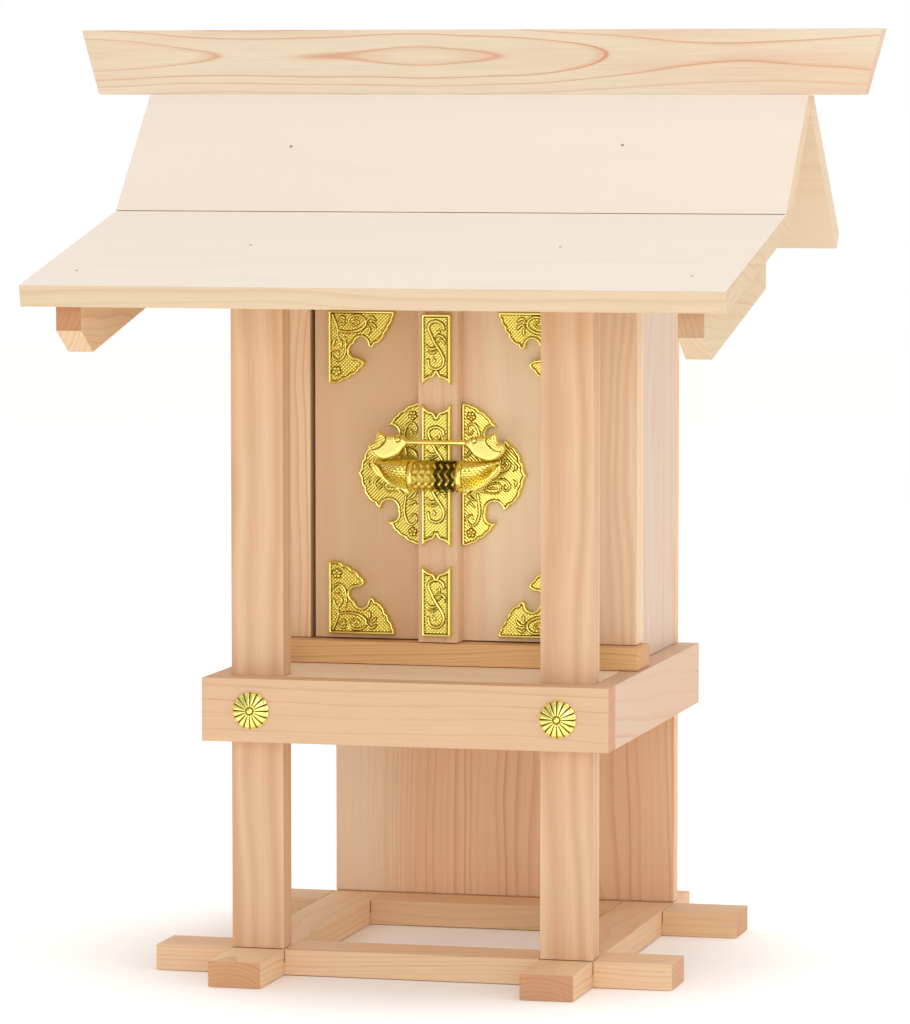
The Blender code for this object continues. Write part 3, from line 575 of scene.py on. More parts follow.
# %% Distances to an outline and to strokes
def edge_distance(places, outline):
    """How far each place lies inside an outline, below zero outside, and the nearest edge point."""
    sides = np.roll(outline, -1, axis=0) - outline
    arm = places[:, None, :] - outline[None]
    along = np.clip((arm * sides).sum(2) / (sides ** 2).sum(1), 0, 1)
    nearest = outline[None] + along[..., None] * sides[None]
    gap = np.linalg.norm(places[:, None, :] - nearest, axis=2)
    best = gap.argmin(axis=1)
    ends = outline + sides
    above = (outline[None, :, 1] > places[:, None, 1]) != (ends[None, :, 1] > places[:, None, 1])
    rise = np.where(sides[:, 1] == 0, 1e-12, sides[:, 1])
    climb = (places[:, None, 1] - outline[None, :, 1]) / rise
    crossing = outline[None, :, 0] + climb * sides[None, :, 0]
    inside = (above & (places[:, None, 0] < crossing)).sum(axis=1) % 2 == 1
    rows = np.arange(len(places))
    return np.where(inside, 1, -1) * gap[rows, best], nearest[rows, best]


def nearness(places, strokes):
    """0 on the middle of the nearest stroke, 1 at its edge and more outside."""
    least = np.full(len(places), 9.0)
    for path, widths in strokes:
        gap = np.linalg.norm(places[:, None, :] - path[None], axis=2) / (widths / 2)
        least = np.minimum(least, gap.min(axis=1))
    return least


square = rounded([(0, 0, 0), (1, 0, 0), (1, 1, 0), (0, 1, 0)])
print("a square's middle lies %.1f inside it" % edge_distance(np.array([(0.5, 0.5)]), square)[0][0])

# %% [markdown]
# ## Stems, curls and dots
#
# The stamp's cutter drew with a few shapes: a stem that swells and thins, a curl, and a round dot.
# A stroke is given by a few points that a smooth curve runs through, and by its greatest width. A
# flower is six dots.

# %% Stems, curls and dots as strokes
STROKE_SPACING_MM = 0.25


def stroke(points, widest=1.3, ends=(0.4, 0.4), fullest=0.5):
    """A smooth line through points in mm. It swells to its widest at a share of its length."""
    points = np.array(points, dtype=float)
    padded = np.vstack((2 * points[0] - points[1], points, 2 * points[-1] - points[-2]))
    smooth = []
    for before, a, b, after in zip(padded, padded[1:], padded[2:], padded[3:]):
        bend, twist = 2 * before - 5 * a + 4 * b - after, 3 * a - before - 3 * b + after
        for t in np.linspace(0, 1, 12, endpoint=False):
            smooth.append(0.5 * (2 * a + (b - before) * t + bend * t ** 2 + twist * t ** 3))
    smooth = np.array(smooth + [points[-1]])
    run = np.concatenate(([0], np.cumsum(np.linalg.norm(np.diff(smooth, axis=0), axis=1))))
    places = np.linspace(0, run[-1], max(4, int(run[-1] / STROKE_SPACING_MM)))
    path = np.column_stack([np.interp(places, run, smooth[:, i]) for i in (0, 1)])
    share = places / run[-1]
    widths = np.interp(share, (0, fullest, 1), (ends[0] * widest, widest, ends[1] * widest))
    return path, widths


def dot(place, width):
    return np.array([place], dtype=float), np.array([width])


def flower(place, width):
    """A small flower of five round petals."""
    turns = [math.radians(90 + 72 * k) for k in range(5)]
    reach = 0.32 * width
    round_it = [dot((place[0] + reach * math.cos(t), place[1] + reach * math.sin(t)), 0.40 * width)
                for t in turns]
    return round_it + [dot(place, 0.25 * width)]


def moved(strokes, shift=(0, 0), flip=(1, 1)):
    return [(path * np.array(flip) + np.array(shift), widths) for path, widths in strokes]


print("a flower is %d dots" % len(flower((0, 0), 1.0)))

# %% [markdown]
# ## Edge and back
#
# Every brass piece is a sheet of points in front, with a border that is open at first. The border
# is extruded back to the wood, like the cut edge of real sheet, and the back is closed.

# %% Extrude the border and close the back
WALL_PAINTED_SHADE = 0.30       # how much darker the cut edge of a plate is painted, as painted shade
MERGED_MM = 0.001


def close_back(bm, y_back, layer):
    """Extrude the open border straight back to a plane and close it there."""
    edges = [e for e in bm.edges if e.is_boundary]
    walls = bmesh.ops.extrude_edge_only(bm, edges=edges)["geom"]
    for v in walls:
        if isinstance(v, bmesh.types.BMVert):
            v.co.y = y_back * MM
            v[layer] = WALL_PAINTED_SHADE
    rim = [e for e in walls if isinstance(e, bmesh.types.BMEdge) and e.is_boundary]
    bmesh.ops.triangle_fill(bm, use_beauty=True, use_dissolve=False, edges=rim)
    bmesh.ops.remove_doubles(bm, verts=bm.verts, dist=MERGED_MM * MM)
    bmesh.ops.dissolve_degenerate(bm, edges=bm.edges, dist=MERGED_MM * MM)
    bmesh.ops.recalc_face_normals(bm, faces=bm.faces)


print("points closer than %.3f mm are merged" % MERGED_MM)

# %% [markdown]
# ## A stamped sheet
#
# A press drives flat sheet between two dies. Here a fine grid is the sheet: the squares outside the
# outline are deleted, the border is pulled onto the outline, and each point moves forward by the
# relief's height. How deep a point lies is kept in an attribute, which the gilding uses: polish
# reaches the high places, and the low ones stay darker.

# %% Grid, trim and raise
CELL_MM = 0.25


def stamped(outline, relief, y_back, y_front, place, flip=(1, 1), cell=CELL_MM):
    """Sheet metal over an outline, all in mm.

    relief takes the places and how far they are from the edge. It gives heights above the front,
    at most 0, and how dark each place is, from 0 to 1.
    """
    low, size = outline.min(axis=0), np.ptp(outline, axis=0)
    cells = [math.ceil(s / cell) for s in size]
    bm = bmesh.new()
    bmesh.ops.create_grid(bm, x_segments=cells[0], y_segments=cells[1], size=0.5)
    places = np.array([(v.co.x + 0.5, v.co.y + 0.5) for v in bm.verts]) * size + low
    inside, _ = edge_distance(places, outline)
    bm.verts.index_update()
    outer = [f for f in bm.faces if sum(inside[v.index] for v in f.verts) <= 0]
    bmesh.ops.delete(bm, geom=outer, context="FACES")
    places = np.array([(v.co.x + 0.5, v.co.y + 0.5) for v in bm.verts]) * size + low
    depth, nearest = edge_distance(places, outline)
    border = np.array([v.is_boundary for v in bm.verts])
    places[border] = nearest[border]
    depth[border] = 0.0
    heights, depth_and_painted_shade = relief(places, np.maximum(depth, 0.0))
    layer = bm.verts.layers.float.new("depth_and_painted_shade")
    for v, (a, b), height, depth_and_shade_here in zip(bm.verts, places, heights, depth_and_painted_shade):
        v.co = Vector((place[0] + flip[0] * a, y_front - height, place[1] + flip[1] * b)) * MM
        v[layer] = depth_and_shade_here
    close_back(bm, y_back, layer)
    return bm


print("relief on squares of %.2f mm" % CELL_MM)

# %% [markdown]
# ## One piece for each fitting
#
# The lock is more than one sheet, so finished sheets can be joined into one piece. It rides on its
# leaf or on the shrine, and takes the place of the plain solid in the frame. Rounded relief is
# shaded smooth, and edges that turn sharply stay crisp.

# %% Join, shade and hand over
SHARP_FROM = math.radians(42)


def brass_piece(name, meshes, node, body):
    """Join finished bmeshes into one piece that rides on a body and stands for a node."""
    whole = bmesh.new()
    whole.verts.layers.float.new("depth_and_painted_shade")
    for bm in meshes:
        part = bpy.data.meshes.new(name)
        bm.to_mesh(part)
        bm.free()
        whole.from_mesh(part)
        bpy.data.meshes.remove(part)
    piece = piece_of(whole, name, gilt)
    piece.data.shade_smooth()
    piece.data.set_sharp_from_angle(angle=SHARP_FROM)
    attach(piece, body)
    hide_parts(node)
    print("%s: %d faces" % (name, len(piece.data.polygons)))


def box_mm(node):
    """The two corners of a node's box, in mm."""
    return [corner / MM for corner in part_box(node)]


print("edges that turn by %.0f degrees stay crisp" % math.degrees(SHARP_FROM))

# %% [markdown]
# ## The gilding
#
# The fittings are stamped brass with a bright gilt finish. Metal has almost no colour of its own
# beyond what it reflects, so the shader is fully metallic, with a base colour of gold. An attribute
# takes the low places to olive brown and makes them duller, as on the real plates, where the
# buffing wheel only reaches what stands proud. The same attribute also carries painted shade on
# the plates' outer edges, and painted shade and painted light on the lock's facets.

# %% Stamped gilt brass
GILT = [(0.06, "#fff48e"), (0.30, "#efdc68"), (0.62, "#b39c38"), (1.0, "#463c10")]
GILT_CLOUDS_PER_M, GILT_CLOUDS = 260.0, 0.12   # tarnish in clouds 4 mm wide


def stamped_gilt_brass():
    """Brass sheet, stamped and gilded: lemon yellow where polished, olive brown in the grooves."""
    material, add = new_material("stamped_gilt_brass")
    depth_and_painted_shade = add("Attribute", attribute_name="depth_and_painted_shade", out=2)
    place = add("TexCoord", out=3)
    cloud = add("TexNoise", place, Scale=GILT_CLOUDS_PER_M, Detail=2.0)
    tone = add("Math", cloud, GILT_CLOUDS, depth_and_painted_shade, operation="MULTIPLY_ADD")
    colour = add("ValToRGB", tone, stops=GILT)
    rough = add("ValToRGB", tone, stops=[(0.1, 0.20), (0.9, 0.42)])
    shader = add("BsdfPrincipled", Base_Color=colour, Roughness=rough, Metallic=1.0)
    add("OutputMaterial", shader)
    return material


gilt = stamped_gilt_brass()
print("made", gilt.name)

# %% [markdown]
# ## Rim, ground and leaves
#
# All the flat plates are pressed the same way. A bright rim with a rounded outer edge runs round
# them. Inside it lies the ground, punched with fine crossed or slanting lines, and on the ground
# stand the curls and leaves, each with a dark furrow round it. The lines of the real ground are a
# third of a millimetre apart, so they are drawn wider here, or they wouldn't show. Two curves shape
# all the relief: a bell for furrows and beads, and an arch for whatever is rounded.

# %% Sizes of the pressing, a bell and an arch
RIM_MM = 1.05                       # flat raised border
FALL_MM = 0.35                      # slope from the border to the ground
GROUND_MM = 0.65                    # depth of the ground below the border
STROKE_MM = 0.68                    # height of curls and leaves above the ground
HATCH_MM, HATCH_RISE_MM = 1.70, 0.08
HATCH_DULL = {"cross": 0.18, "slant": 0.28}
BEAD_MM, BEAD_RISE_MM = 0.85, 0.20  # distance and height of the beads along the rim
EDGE_MM, EDGE_DROP_MM = 0.5, 0.40   # width and drop of the rounded outer edge
CROWN_MM, MOAT_MM = 0.12, 0.14      # bulge of the rim, and depth of a furrow
SETBACK_MM = 0.14                   # keeps the crown within the plate's thickness


def bell(value, middle, width):
    """1 at the middle, falling smoothly to nearly 0 two widths away."""
    return np.exp(-((value - middle) / width) ** 2)


def arch(value):
    """1 where the value is 0, and down a quarter circle to 0 where it is 1 or more."""
    return np.sqrt(np.clip(1 - value ** 2, 0, 1))


print("half way up, the arch is %.2f high" % arch(0.5))

# %% [markdown]
# ## The pressing
#
# The die's work is added up from the edge inward: rounded edge, rim, slope, ground with its lines
# or beads, and then whatever stands on the ground. What is low is dull, and a furrow is dullest.

# %% Rim, ground, beads, curls and leaves
def pressed(places, depth, strokes, hatch="cross", beads=False):
    """Heights and darkness of a plate: rounded edge, rim, punched ground, curls and leaves."""
    edge = EDGE_DROP_MM * (1 - arch(np.clip(1 - depth / EDGE_MM, 0, 1)))
    crown = CROWN_MM * np.sin(math.pi * np.clip(depth / RIM_MM, 0, 1))
    fall = np.clip((depth - RIM_MM) / FALL_MM, 0, 1)
    fall = fall * fall * (3 - 2 * fall)
    a, b = places.T
    grain = np.sin(2 * math.pi * (a + b) / HATCH_MM)
    if hatch == "cross":
        grain = np.minimum(grain, np.sin(2 * math.pi * (a - b) / HATCH_MM))
    ground = fall * (HATCH_RISE_MM * grain - GROUND_MM)
    depth_and_painted_shade = fall * (HATCH_DULL[hatch] - 0.24 * grain)
    if beads:
        ring = bell(depth, RIM_MM + FALL_MM + 0.30, 0.26)
        bead = ring * (0.5 + 0.5 * np.cos(2 * math.pi * b / BEAD_MM))
        ground = ground + BEAD_RISE_MM * bead
        depth_and_painted_shade = depth_and_painted_shade + 0.75 * ring - 1.1 * bead
    near = nearness(places, strokes)
    raised = arch(near) * fall
    moat = bell(near, 1.22, 0.24) * fall
    height = ground * (1 - raised) + (STROKE_MM - GROUND_MM * fall) * raised - MOAT_MM * moat
    depth_and_painted_shade = np.where(near < 1, 0.55 * near ** 4 * fall, depth_and_painted_shade) + 0.70 * moat
    # Darker on the slope below the rim, and painted shade on the rounded outer edge.
    depth_and_painted_shade = depth_and_painted_shade + 0.60 * bell(depth, RIM_MM + 0.9 * FALL_MM, 0.20) + 0.30 * bell(depth, 0, 0.22)
    return height + crown - edge - SETBACK_MM, np.clip(depth_and_painted_shade, 0, 1)


def plate(node, outline, strokes, body, place, flip, hatch="cross", beads=False):
    """Press a plate where its plain node is in the frame."""
    low, high = box_mm(node)
    bm = stamped(outline, lambda places, depth: pressed(places, depth, strokes, hatch, beads),
                 high.y, low.y, place, flip)
    brass_piece("gilt_" + node, [bm], node, body)


print("ground %.2f mm below the rim" % GROUND_MM)

# %% [markdown]
# ## Corner plates
#
# Each leaf has a plate in its two outer corners, with an arm along each edge and a double bite
# between the arms. All four are the same stamping, turned over. A large oval volute fills the lower
# arm with three leaves beyond it, a smaller curl and a flower fill the other, and a stem runs
# between them from the corner.

# %% Corner plates
CORNER_SHAPE = [
    (0.00, 0.00, 0), (0.98, 0.00, 0.25), (0.955, 0.10, 0.25), (0.90, 0.20, 0.25), (0.84, 0.3, 0.25),
    (0.79, 0.39, 0.28), (0.69, 0.45, 0.25), (0.64, 0.51, 0.35), (0.586, 0.455, -0.95),
    (0.385, 0.455, -0.95), (0.43, 0.645, 0.10), (0.535, 0.70, 0.28), (0.46, 0.80, 0.28),
    (0.34, 0.89, 0.25), (0.22, 0.95, 0.25), (0.10, 1.00, 0), (0.00, 1.00, 0)]
CORNER_REACH = 0.98    # the widest share in the shape above


def corner_strokes():
    volute = [(3.6, 8.8), (8.1, 10.2), (14.5, 9.6), (18.4, 6.9), (18.0, 3.8), (14.6, 2.2),
              (11.0, 3.2), (10.3, 5.6), (13.0, 7.0), (15.2, 5.4), (13.2, 4.4)]
    curl = [(8.4, 12.8), (8.8, 17.0), (8.0, 21.4), (5.4, 24.0), (2.6, 23.2), (2.3, 20.6),
            (4.6, 19.8), (5.2, 21.6)]
    stem = [(2.0, 2.0), (3.4, 5.2), (4.6, 8.6), (4.8, 12.6), (6.0, 16.2)]
    leaves = [([(19.2, 5.0), (21.0, 3.0), (23.8, 4.4)], 1.5),
              ([(19.4, 6.2), (22.0, 6.2), (24.0, 8.2)], 1.5),
              ([(19.4, 7.0), (20.6, 8.6), (20.2, 11.0)], 1.3),
              ([(5.0, 4.4), (7.0, 3.0), (8.6, 4.2)], 1.4),
              ([(5.2, 5.4), (7.0, 6.4), (8.4, 5.8)], 1.2),
              ([(5.0, 12.8), (2.9, 14.4), (2.4, 16.8)], 1.4),
              ([(5.4, 13.4), (6.6, 15.6), (5.8, 18.2)], 1.2)]
    drawn = [stroke(volute, 1.35, (0.7, 0.6), 0.3), stroke(curl, 1.25, (0.5, 0.6), 0.4),
             stroke(stem, 1.3, (0.9, 0.5), 0.2)]
    drawn += [stroke(points, widest, fullest=0.7) for points, widest in leaves]
    return drawn + flower((4.0, 29.2), 4.4)


for hand, side in (("left", -1), ("right", 1)):
    for level, up in (("bottom", 1), ("top", -1)):
        node = "corner_plate_%s_%s" % (level, hand)
        low, high = box_mm(node)
        outline = rounded(CORNER_SHAPE, (high.x - low.x) / CORNER_REACH, high.z - low.z)
        corner = (low.x if side < 0 else high.x, low.z if up > 0 else high.z)
        plate(node, outline, corner_strokes(), hand + "_leaf", corner, (-side, up))

# %% [markdown]
# ## Half-round plates
#
# Two plates face each other across the cover strip and make a broken disc round the lock. Their
# ground is cut with slanting lines only. The upper and the lower half are mirror images: a flower
# by the point, a long stem that ends in a curl, a small curl in the lobe, and a leaf between.

# %% Half-round plates
HALF_LOW = [
    (0.00, -1.00, 0.22), (0.145, -0.975, 0.25), (0.27, -0.905, 0.25), (0.385, -0.83, 0.25),
    (0.46, -0.745, 0.25), (0.531, -0.666, -0.75), (0.376, -0.524, -1.10), (0.64, -0.503, 0.25),
    (0.73, -0.425, 0.25), (0.845, -0.335, 0.25), (0.90, -0.21, 0.25), (0.945, -0.085, -0.12)]
bulges = [corner[2] for corner in HALF_LOW]
HALF_HIGH = [(a, -b, bulge) for (a, b, _), bulge in zip(HALF_LOW[::-1], bulges[-2::-1] + [0])]
HALF_SHAPE = HALF_LOW + [(1.00, 0.00, -0.12)] + HALF_HIGH


def half_strokes():
    stem = [(7.6, -9.4), (8.5, -14.6), (8.6, -19.4), (7.0, -23.6), (4.6, -24.6), (2.6, -22.8),
            (2.7, -20.4), (4.4, -19.6), (5.4, -21.2)]
    lobe = [(18.8, -1.8), (20.6, -1.9), (22.6, -3.2), (23.6, -5.6), (22.0, -7.4), (20.2, -6.2),
            (21.4, -4.8)]
    almond = [(10.4, -8.2), (14.0, -4.4), (18.0, -4.0), (19.2, -6.4), (16.8, -8.8), (10.4, -8.2)]
    low = [stroke(stem, 1.30, (0.8, 0.6), 0.3), stroke(lobe, 1.15, (0.6, 0.6), 0.4),
           stroke(almond, 0.8, (0.8, 0.8)), stroke([(13.2, -6.6), (15.4, -6.2), (17.4, -6.6)], 1.1),
           stroke([(2.2, -8.4), (4.2, -11.0), (6.6, -12.4)], 1.6, fullest=0.4),
           stroke([(2.4, -14.6), (3.8, -13.4), (6.2, -15.6)], 1.2),
           stroke([(25.4, -2.0), (26.8, -3.6), (26.0, -6.0)], 1.2)] + flower((4.5, -28.2), 4.2)
    return low + moved(low, flip=(1, -1))


for hand, side in (("left", -1), ("right", 1)):
    node = "half_plate_" + hand
    low, high = box_mm(node)
    outline = rounded(HALF_SHAPE, high.x - low.x, (high.z - low.z) / 2)
    point = (high.x if side < 0 else low.x, (low.z + high.z) / 2)
    plate(node, outline, half_strokes(), hand + "_leaf", point, (side, 1), "slant")

# %% [markdown]
# ## Strip plates
#
# Three narrow plates cover the strip between the leaves. A line of small beads runs inside the rim,
# and a scroll shaped like an S fills each plate, with leaves on both sides of its stem. A forked
# end is an ogee: two arcs that rise from the prongs, and a small point where they meet.

# %% Strip plates
FORK_MM = 6.4
TOP_SCROLL_MM = 9.6    # middle of the plate to the middle of the long plate's upper scroll
LOW_SCROLL_MM = -13.2
END_SCROLL_MM = {"top": 0.0, "bottom": -3.6}
SHOULDER, POINT = 0.62, 0.24   # where the arcs of a forked end meet, up and across


def strip_shape(width, length, fork_low, fork_high):
    half, end = width / 2, length / 2

    def forked(side):
        shoulder, point = SHOULDER * FORK_MM, POINT * half
        return [(-side * half, -side * end, -0.30), (-side * point, side * (shoulder - end), 0.12),
                (0.0, side * (FORK_MM - end), 0.12), (side * point, side * (shoulder - end), -0.30),
                (side * half, -side * end, 0)]

    low = forked(1) if fork_low else [(-half, -end, 0), (half, -end, 0)]
    high = forked(-1) if fork_high else [(half, end, 0), (-half, end, 0)]
    return rounded(low + high)


def s_scroll(middle):
    """One S with its hook at the top, its bowl at the bottom, and leaves on both sides."""
    body = [(3.8, 10.2), (3.2, 12.4), (0.2, 13.9), (-3.0, 12.9), (-3.8, 10.6), (-2.6, 7.6),
            (-0.4, 3.2), (2.3, -0.8), (3.8, -4.4), (2.8, -7.8), (-0.2, -9.2), (-3.2, -7.8),
            (-3.9, -4.6)]
    parts = [stroke(body, 1.30, (1.0, 0.9)), stroke([(0.4, 9.4), (1.6, 8.6), (1.7, 10.4)], 1.1),
             stroke([(-1.4, -3.4), (-0.6, -5.4), (-1.6, -4.8)], 1.2),
             stroke([(-0.4, 5.6), (1.0, 7.0), (3.2, 6.6), (4.6, 4.9)], 1.3, (0.5, 0.8), 0.6),
             stroke([(0.6, 3.8), (2.6, 5.0), (4.4, 3.3)], 1.1, (0.5, 0.8), 0.6),
             stroke([(0.6, 1.2), (-1.8, 0.6), (-3.4, 1.0), (-4.6, 2.6)], 1.4, (0.6, 0.5), 0.4),
             stroke([(0.4, -0.6), (-2.2, -1.4), (-4.4, -0.6)], 1.1, (0.5, 0.4), 0.4)]
    return moved(parts, (0, middle))


for level, forks in (("top", (True, False)), ("middle", (True, True)), ("bottom", (False, True))):
    node = "strip_plate_" + level
    low, high = box_mm(node)
    if level == "middle":
        strokes = s_scroll(TOP_SCROLL_MM) + s_scroll(LOW_SCROLL_MM)
    else:
        strokes = s_scroll(END_SCROLL_MM[level])
    plate(node, strip_shape(high.x - low.x, high.z - low.z, *forks), strokes, "left_leaf",
          ((low.x + high.x) / 2, (low.z + high.z) / 2), (1, 1), beads=True)

# %% [markdown]
# ## Chrysanthemum nail covers
#
# Two sixteen-petalled covers hide the nails that hold the platform's front board to the posts. Each
# petal is a rounded ridge that rises from the rim towards the middle, with a small button there.

# %% Nail covers
PETALS = 16
COVER_CELL_MM = 0.14
BUTTON_MM, BUTTON_REACH = 0.30, 0.15   # height of the button, and its share of the radius
MOAT_AT = 0.19                         # share of the radius at which a furrow rings the button
THINNEST_MM = 0.4


def flower_outline(radius):
    turn = np.linspace(0, 2 * math.pi, PETALS * 12, endpoint=False)
    reach = radius * (0.93 + 0.07 * np.abs(np.sin(turn * PETALS / 2)) ** 0.6)
    return np.column_stack((reach * np.cos(turn), reach * np.sin(turn)))


def petals(places, depth, radius, rise):
    """A low dome of sixteen ridges, with a button in the middle."""
    reach = np.linalg.norm(places, axis=1) / radius
    turn = np.arctan2(places[:, 1], places[:, 0])
    across = np.abs(np.sin(turn * PETALS / 2))
    fullness = np.clip((reach - 0.14) / 0.22, 0, 1)
    dome = -0.55 * rise * reach ** 2
    valley = -0.85 * fullness * (1 - arch(1 - across))
    lip = -0.30 * rise * np.clip((reach - 0.82) / 0.18, 0, 1) ** 2
    moat = bell(reach, MOAT_AT, 0.035)
    height = dome + valley + lip + BUTTON_MM * arch(reach / BUTTON_REACH) - 0.32 - 0.35 * moat
    depth_and_painted_shade = fullness * np.clip(1.1 - 1.9 * across, 0, 1) + 0.9 * moat
    return np.maximum(height, THINNEST_MM - rise), np.clip(depth_and_painted_shade, 0, 1)


for hand in ("left", "right"):
    node = "rosette_" + hand
    low, high = box_mm(node)
    radius, rise = (high.x - low.x) / 2, high.y - low.y
    middle = ((low.x + high.x) / 2, (low.z + high.z) / 2)
    bm = stamped(flower_outline(radius), lambda places, depth: petals(places, depth, radius, rise),
                 high.y, low.y, middle, cell=COVER_CELL_MM)
    brass_piece("gilt_" + node, [bm], node, "shrine")

# %% [markdown]
# ## The lock's body
#
# The lock is a fat little barrel with slanting ends, made like a fish: scales on its flanks, two
# polished rings, and a middle cut into facets like a gem. A grid is wrapped round half a circle,
# narrower towards the ends, and its points then move out by the height of scales and facets.

# %% Sizes of the barrel
LOCK_TOP_MM, LOCK_LOW_MM, LOCK_HIGH_MM, LOCK_DEEP_MM, LOCK_END_MM = 60.0, 29.0, 15.2, 8.8, 3.6
RELIEF_ROOM_MM = 0.9   # between the barrel and the lock's box, on top and in front
RING_AT_MM, RING_MM, RING_RISE_MM = 11.9, 1.20, 0.80
SCALE_MM, SCALE_RISE_MM = 2.3, 0.85
FACET_MM, FACET_RISE_MM = 4.2, 0.95
FACETS_END_MM, SCALES_FROM_MM = 10.4, 13.6
SINK_MM = 1.3          # keeps the relief within the lock's size
FRONT_POWER = 0.7      # below one the section is flatter in front than a half circle
AROUND = 84            # squares round the section
lock_low, lock_high = box_mm("lock_body")
LOCK_X = (lock_low.x + lock_high.x) / 2
LOCK_TOP_Z = lock_high.z - RELIEF_ROOM_MM
LOCK_BACK_Y = lock_high.y
print("barrel %.1f mm from front to back" % (LOCK_BACK_Y - lock_low.y))

# %% [markdown]
# ## Scales and facets
#
# Scales lie in rows on the flanks, each row half a scale further on than the last. The middle is
# cut in slanting planes that step up and down like a gem's. Both are heights that depend only on
# the distance from the lock's middle and on the way round it, so a few folded waves draw them.

# %% Scales, rings and facets
def zigzag(value, length):
    """0 at each multiple of the length, 1 half way between."""
    return 1 - np.abs(2 * (value / length - np.floor(value / length)) - 1)


def barrel_relief(x, arc):
    """Height above the plain barrel, and how dark, at a distance from the middle and round it.

    The hollows are olive, and the facets carry painted shade and painted light.
    """
    reach = np.abs(x)
    row_mm = 0.62 * SCALE_MM
    row = np.floor(arc / row_mm)
    up = arc / row_mm - row
    across = x / SCALE_MM + 0.5 * (row % 2)
    across = 2 * (across - np.floor(across)) - 1
    dome = np.sqrt(np.clip(1 - across ** 2 * (0.35 + 0.65 * up), 0, 1))
    scale = (1 - 0.70 * up) * dome
    lean = x + 0.45 * FACET_MM * zigzag(arc, 1.6 * FACET_MM)
    facet_mm = 0.8 * FACET_MM
    facets = FACET_RISE_MM * zigzag(lean, facet_mm) + 0.30 * zigzag(arc, facet_mm)
    ring = np.exp(-((reach - RING_AT_MM) / RING_MM) ** 4) * RING_RISE_MM
    middle, flank = reach < FACETS_END_MM, reach > SCALES_FROM_MM
    height = np.where(middle, facets, np.where(flank, SCALE_RISE_MM * scale, 0.0)) + ring
    # Painted shade and light: the steps are darker on the right half than on the left, and one side
    # of each facet is painted bright.
    cut = np.interp(x, (-2.0, 1.0), (0.42, 1.0))
    painted_lit_side = np.clip(1.5 * (zigzag(lean + 0.2 * FACET_MM, facet_mm) - 0.45), 0, 1)
    depth_and_painted_shade = np.where(flank, 0.78 - 1.10 * scale, np.where(middle, cut * (1.0 - 1.3 * painted_lit_side), 0.0))
    depth_and_painted_shade = depth_and_painted_shade + 0.5 * (bell(reach, FACETS_END_MM, 0.22) + bell(reach, 13.5, 0.25))
    return height - SINK_MM, np.clip(depth_and_painted_shade, 0, 1)


print("facets %.1f mm high" % FACET_RISE_MM)

# %% [markdown]
# ## Wrapping the grid
#
# The real barrel could be folded from sheet. Here a flat grid is wrapped: across the grid is along
# the barrel, and up the grid is the way round it. The section shrinks towards the slanting ends.

# %% The barrel itself
def barrel():
    bm = bmesh.new()
    bmesh.ops.create_grid(bm, x_segments=round(LOCK_TOP_MM / CELL_MM), y_segments=AROUND, size=0.5)
    layer = bm.verts.layers.float.new("depth_and_painted_shade")
    x = np.array([v.co.x for v in bm.verts]) * LOCK_TOP_MM
    turn = (0.5 - np.array([v.co.y for v in bm.verts])) * math.pi
    share = np.clip((LOCK_TOP_MM / 2 - np.abs(x)) / ((LOCK_TOP_MM - LOCK_LOW_MM) / 2), 0, 1)
    share = 1 - (1 - share) ** 2.4
    half = LOCK_HIGH_MM * (0.12 + 0.88 * share) / 2
    deep = LOCK_END_MM + (LOCK_DEEP_MM - LOCK_END_MM) * share + RELIEF_ROOM_MM
    height, depth_and_painted_shade = barrel_relief(x, turn * LOCK_HIGH_MM / 2)
    height = height * np.clip(share * 2.5, 0.15, 1) * np.clip(np.sin(turn) * 5, 0, 1)
    forward = (deep + height) * np.abs(np.sin(turn)) ** FRONT_POWER
    z = LOCK_TOP_Z - half + (half + height) * np.cos(turn)
    for v, *place, depth_and_shade_here in zip(bm.verts, LOCK_X + x, LOCK_BACK_Y - forward, z, depth_and_painted_shade):
        v.co = Vector(place) * MM
        v[layer] = depth_and_shade_here
    close_back(bm, LOCK_BACK_Y, layer)
    return bm


print("%d squares round the barrel" % AROUND)

# %% [markdown]
# ## The lock's wings
#
# A leaf of sheet lies along each slanting end of the real barrel, and its scalloped edge shows
# below. It is pressed like the plates: the straight edge next to the barrel stands up, and a furrow
# runs inside the scallops.

# %% Wings along its slanting ends
WING_MM = 3.8          # from the leaf to the wing's face
WING_RIM_MM = 1.6


def wing_outline():
    """The wing on the right, about the middle of the barrel's top."""
    top, low, rim, high = LOCK_TOP_MM / 2, LOCK_LOW_MM / 2, WING_RIM_MM, LOCK_HIGH_MM
    return rounded([(low - rim, -high, 0), (low, -high - rim, 0.20),
                    (low + 0.36 * (top - low), -0.88 * high, 0.15),
                    (low + 0.80 * (top - low), -0.58 * high, 0.20),
                    (top + rim, -0.25 * high, 0.25), (top, 0.0, 0), (top - rim, -rim, 0)])


def wing_relief(places, depth):
    """A raised straight edge next to the barrel, and a furrow inside the scalloped one."""
    top, low = LOCK_TOP_MM / 2, LOCK_LOW_MM / 2
    along = np.array((top - low, LOCK_HIGH_MM))
    along = along / np.linalg.norm(along)
    off = (places[:, 0] - low) * along[1] - (places[:, 1] + LOCK_HIGH_MM) * along[0]
    furrow = bell(off, 1.6, 0.40) + 0.6 * bell(depth, 1.0, 0.3)
    edge = np.clip(1 - depth / EDGE_MM, 0, 1) ** 2
    height = -0.45 * (1 - bell(off, 0.2, 0.75)) - 0.25 * furrow - 0.35 * edge
    return height, np.clip(0.75 * furrow, 0, 1)


lock = [barrel()]
for side in (-1, 1):
    lock.append(stamped(wing_outline(), wing_relief, LOCK_BACK_Y, LOCK_BACK_Y - WING_MM,
                        (LOCK_X, LOCK_TOP_Z), (side, 1)))
brass_piece("gilt_lock_body", lock, "lock_body", "left_leaf")

# %% [markdown]
# ## The lock's bar
#
# A thin rod joins two small birds that stand on the barrel and look at each other. A bird is a
# puffed outline with a drop-shaped crest behind the beak and a folded wing, which is a panel of
# fine lines above one bold curve.

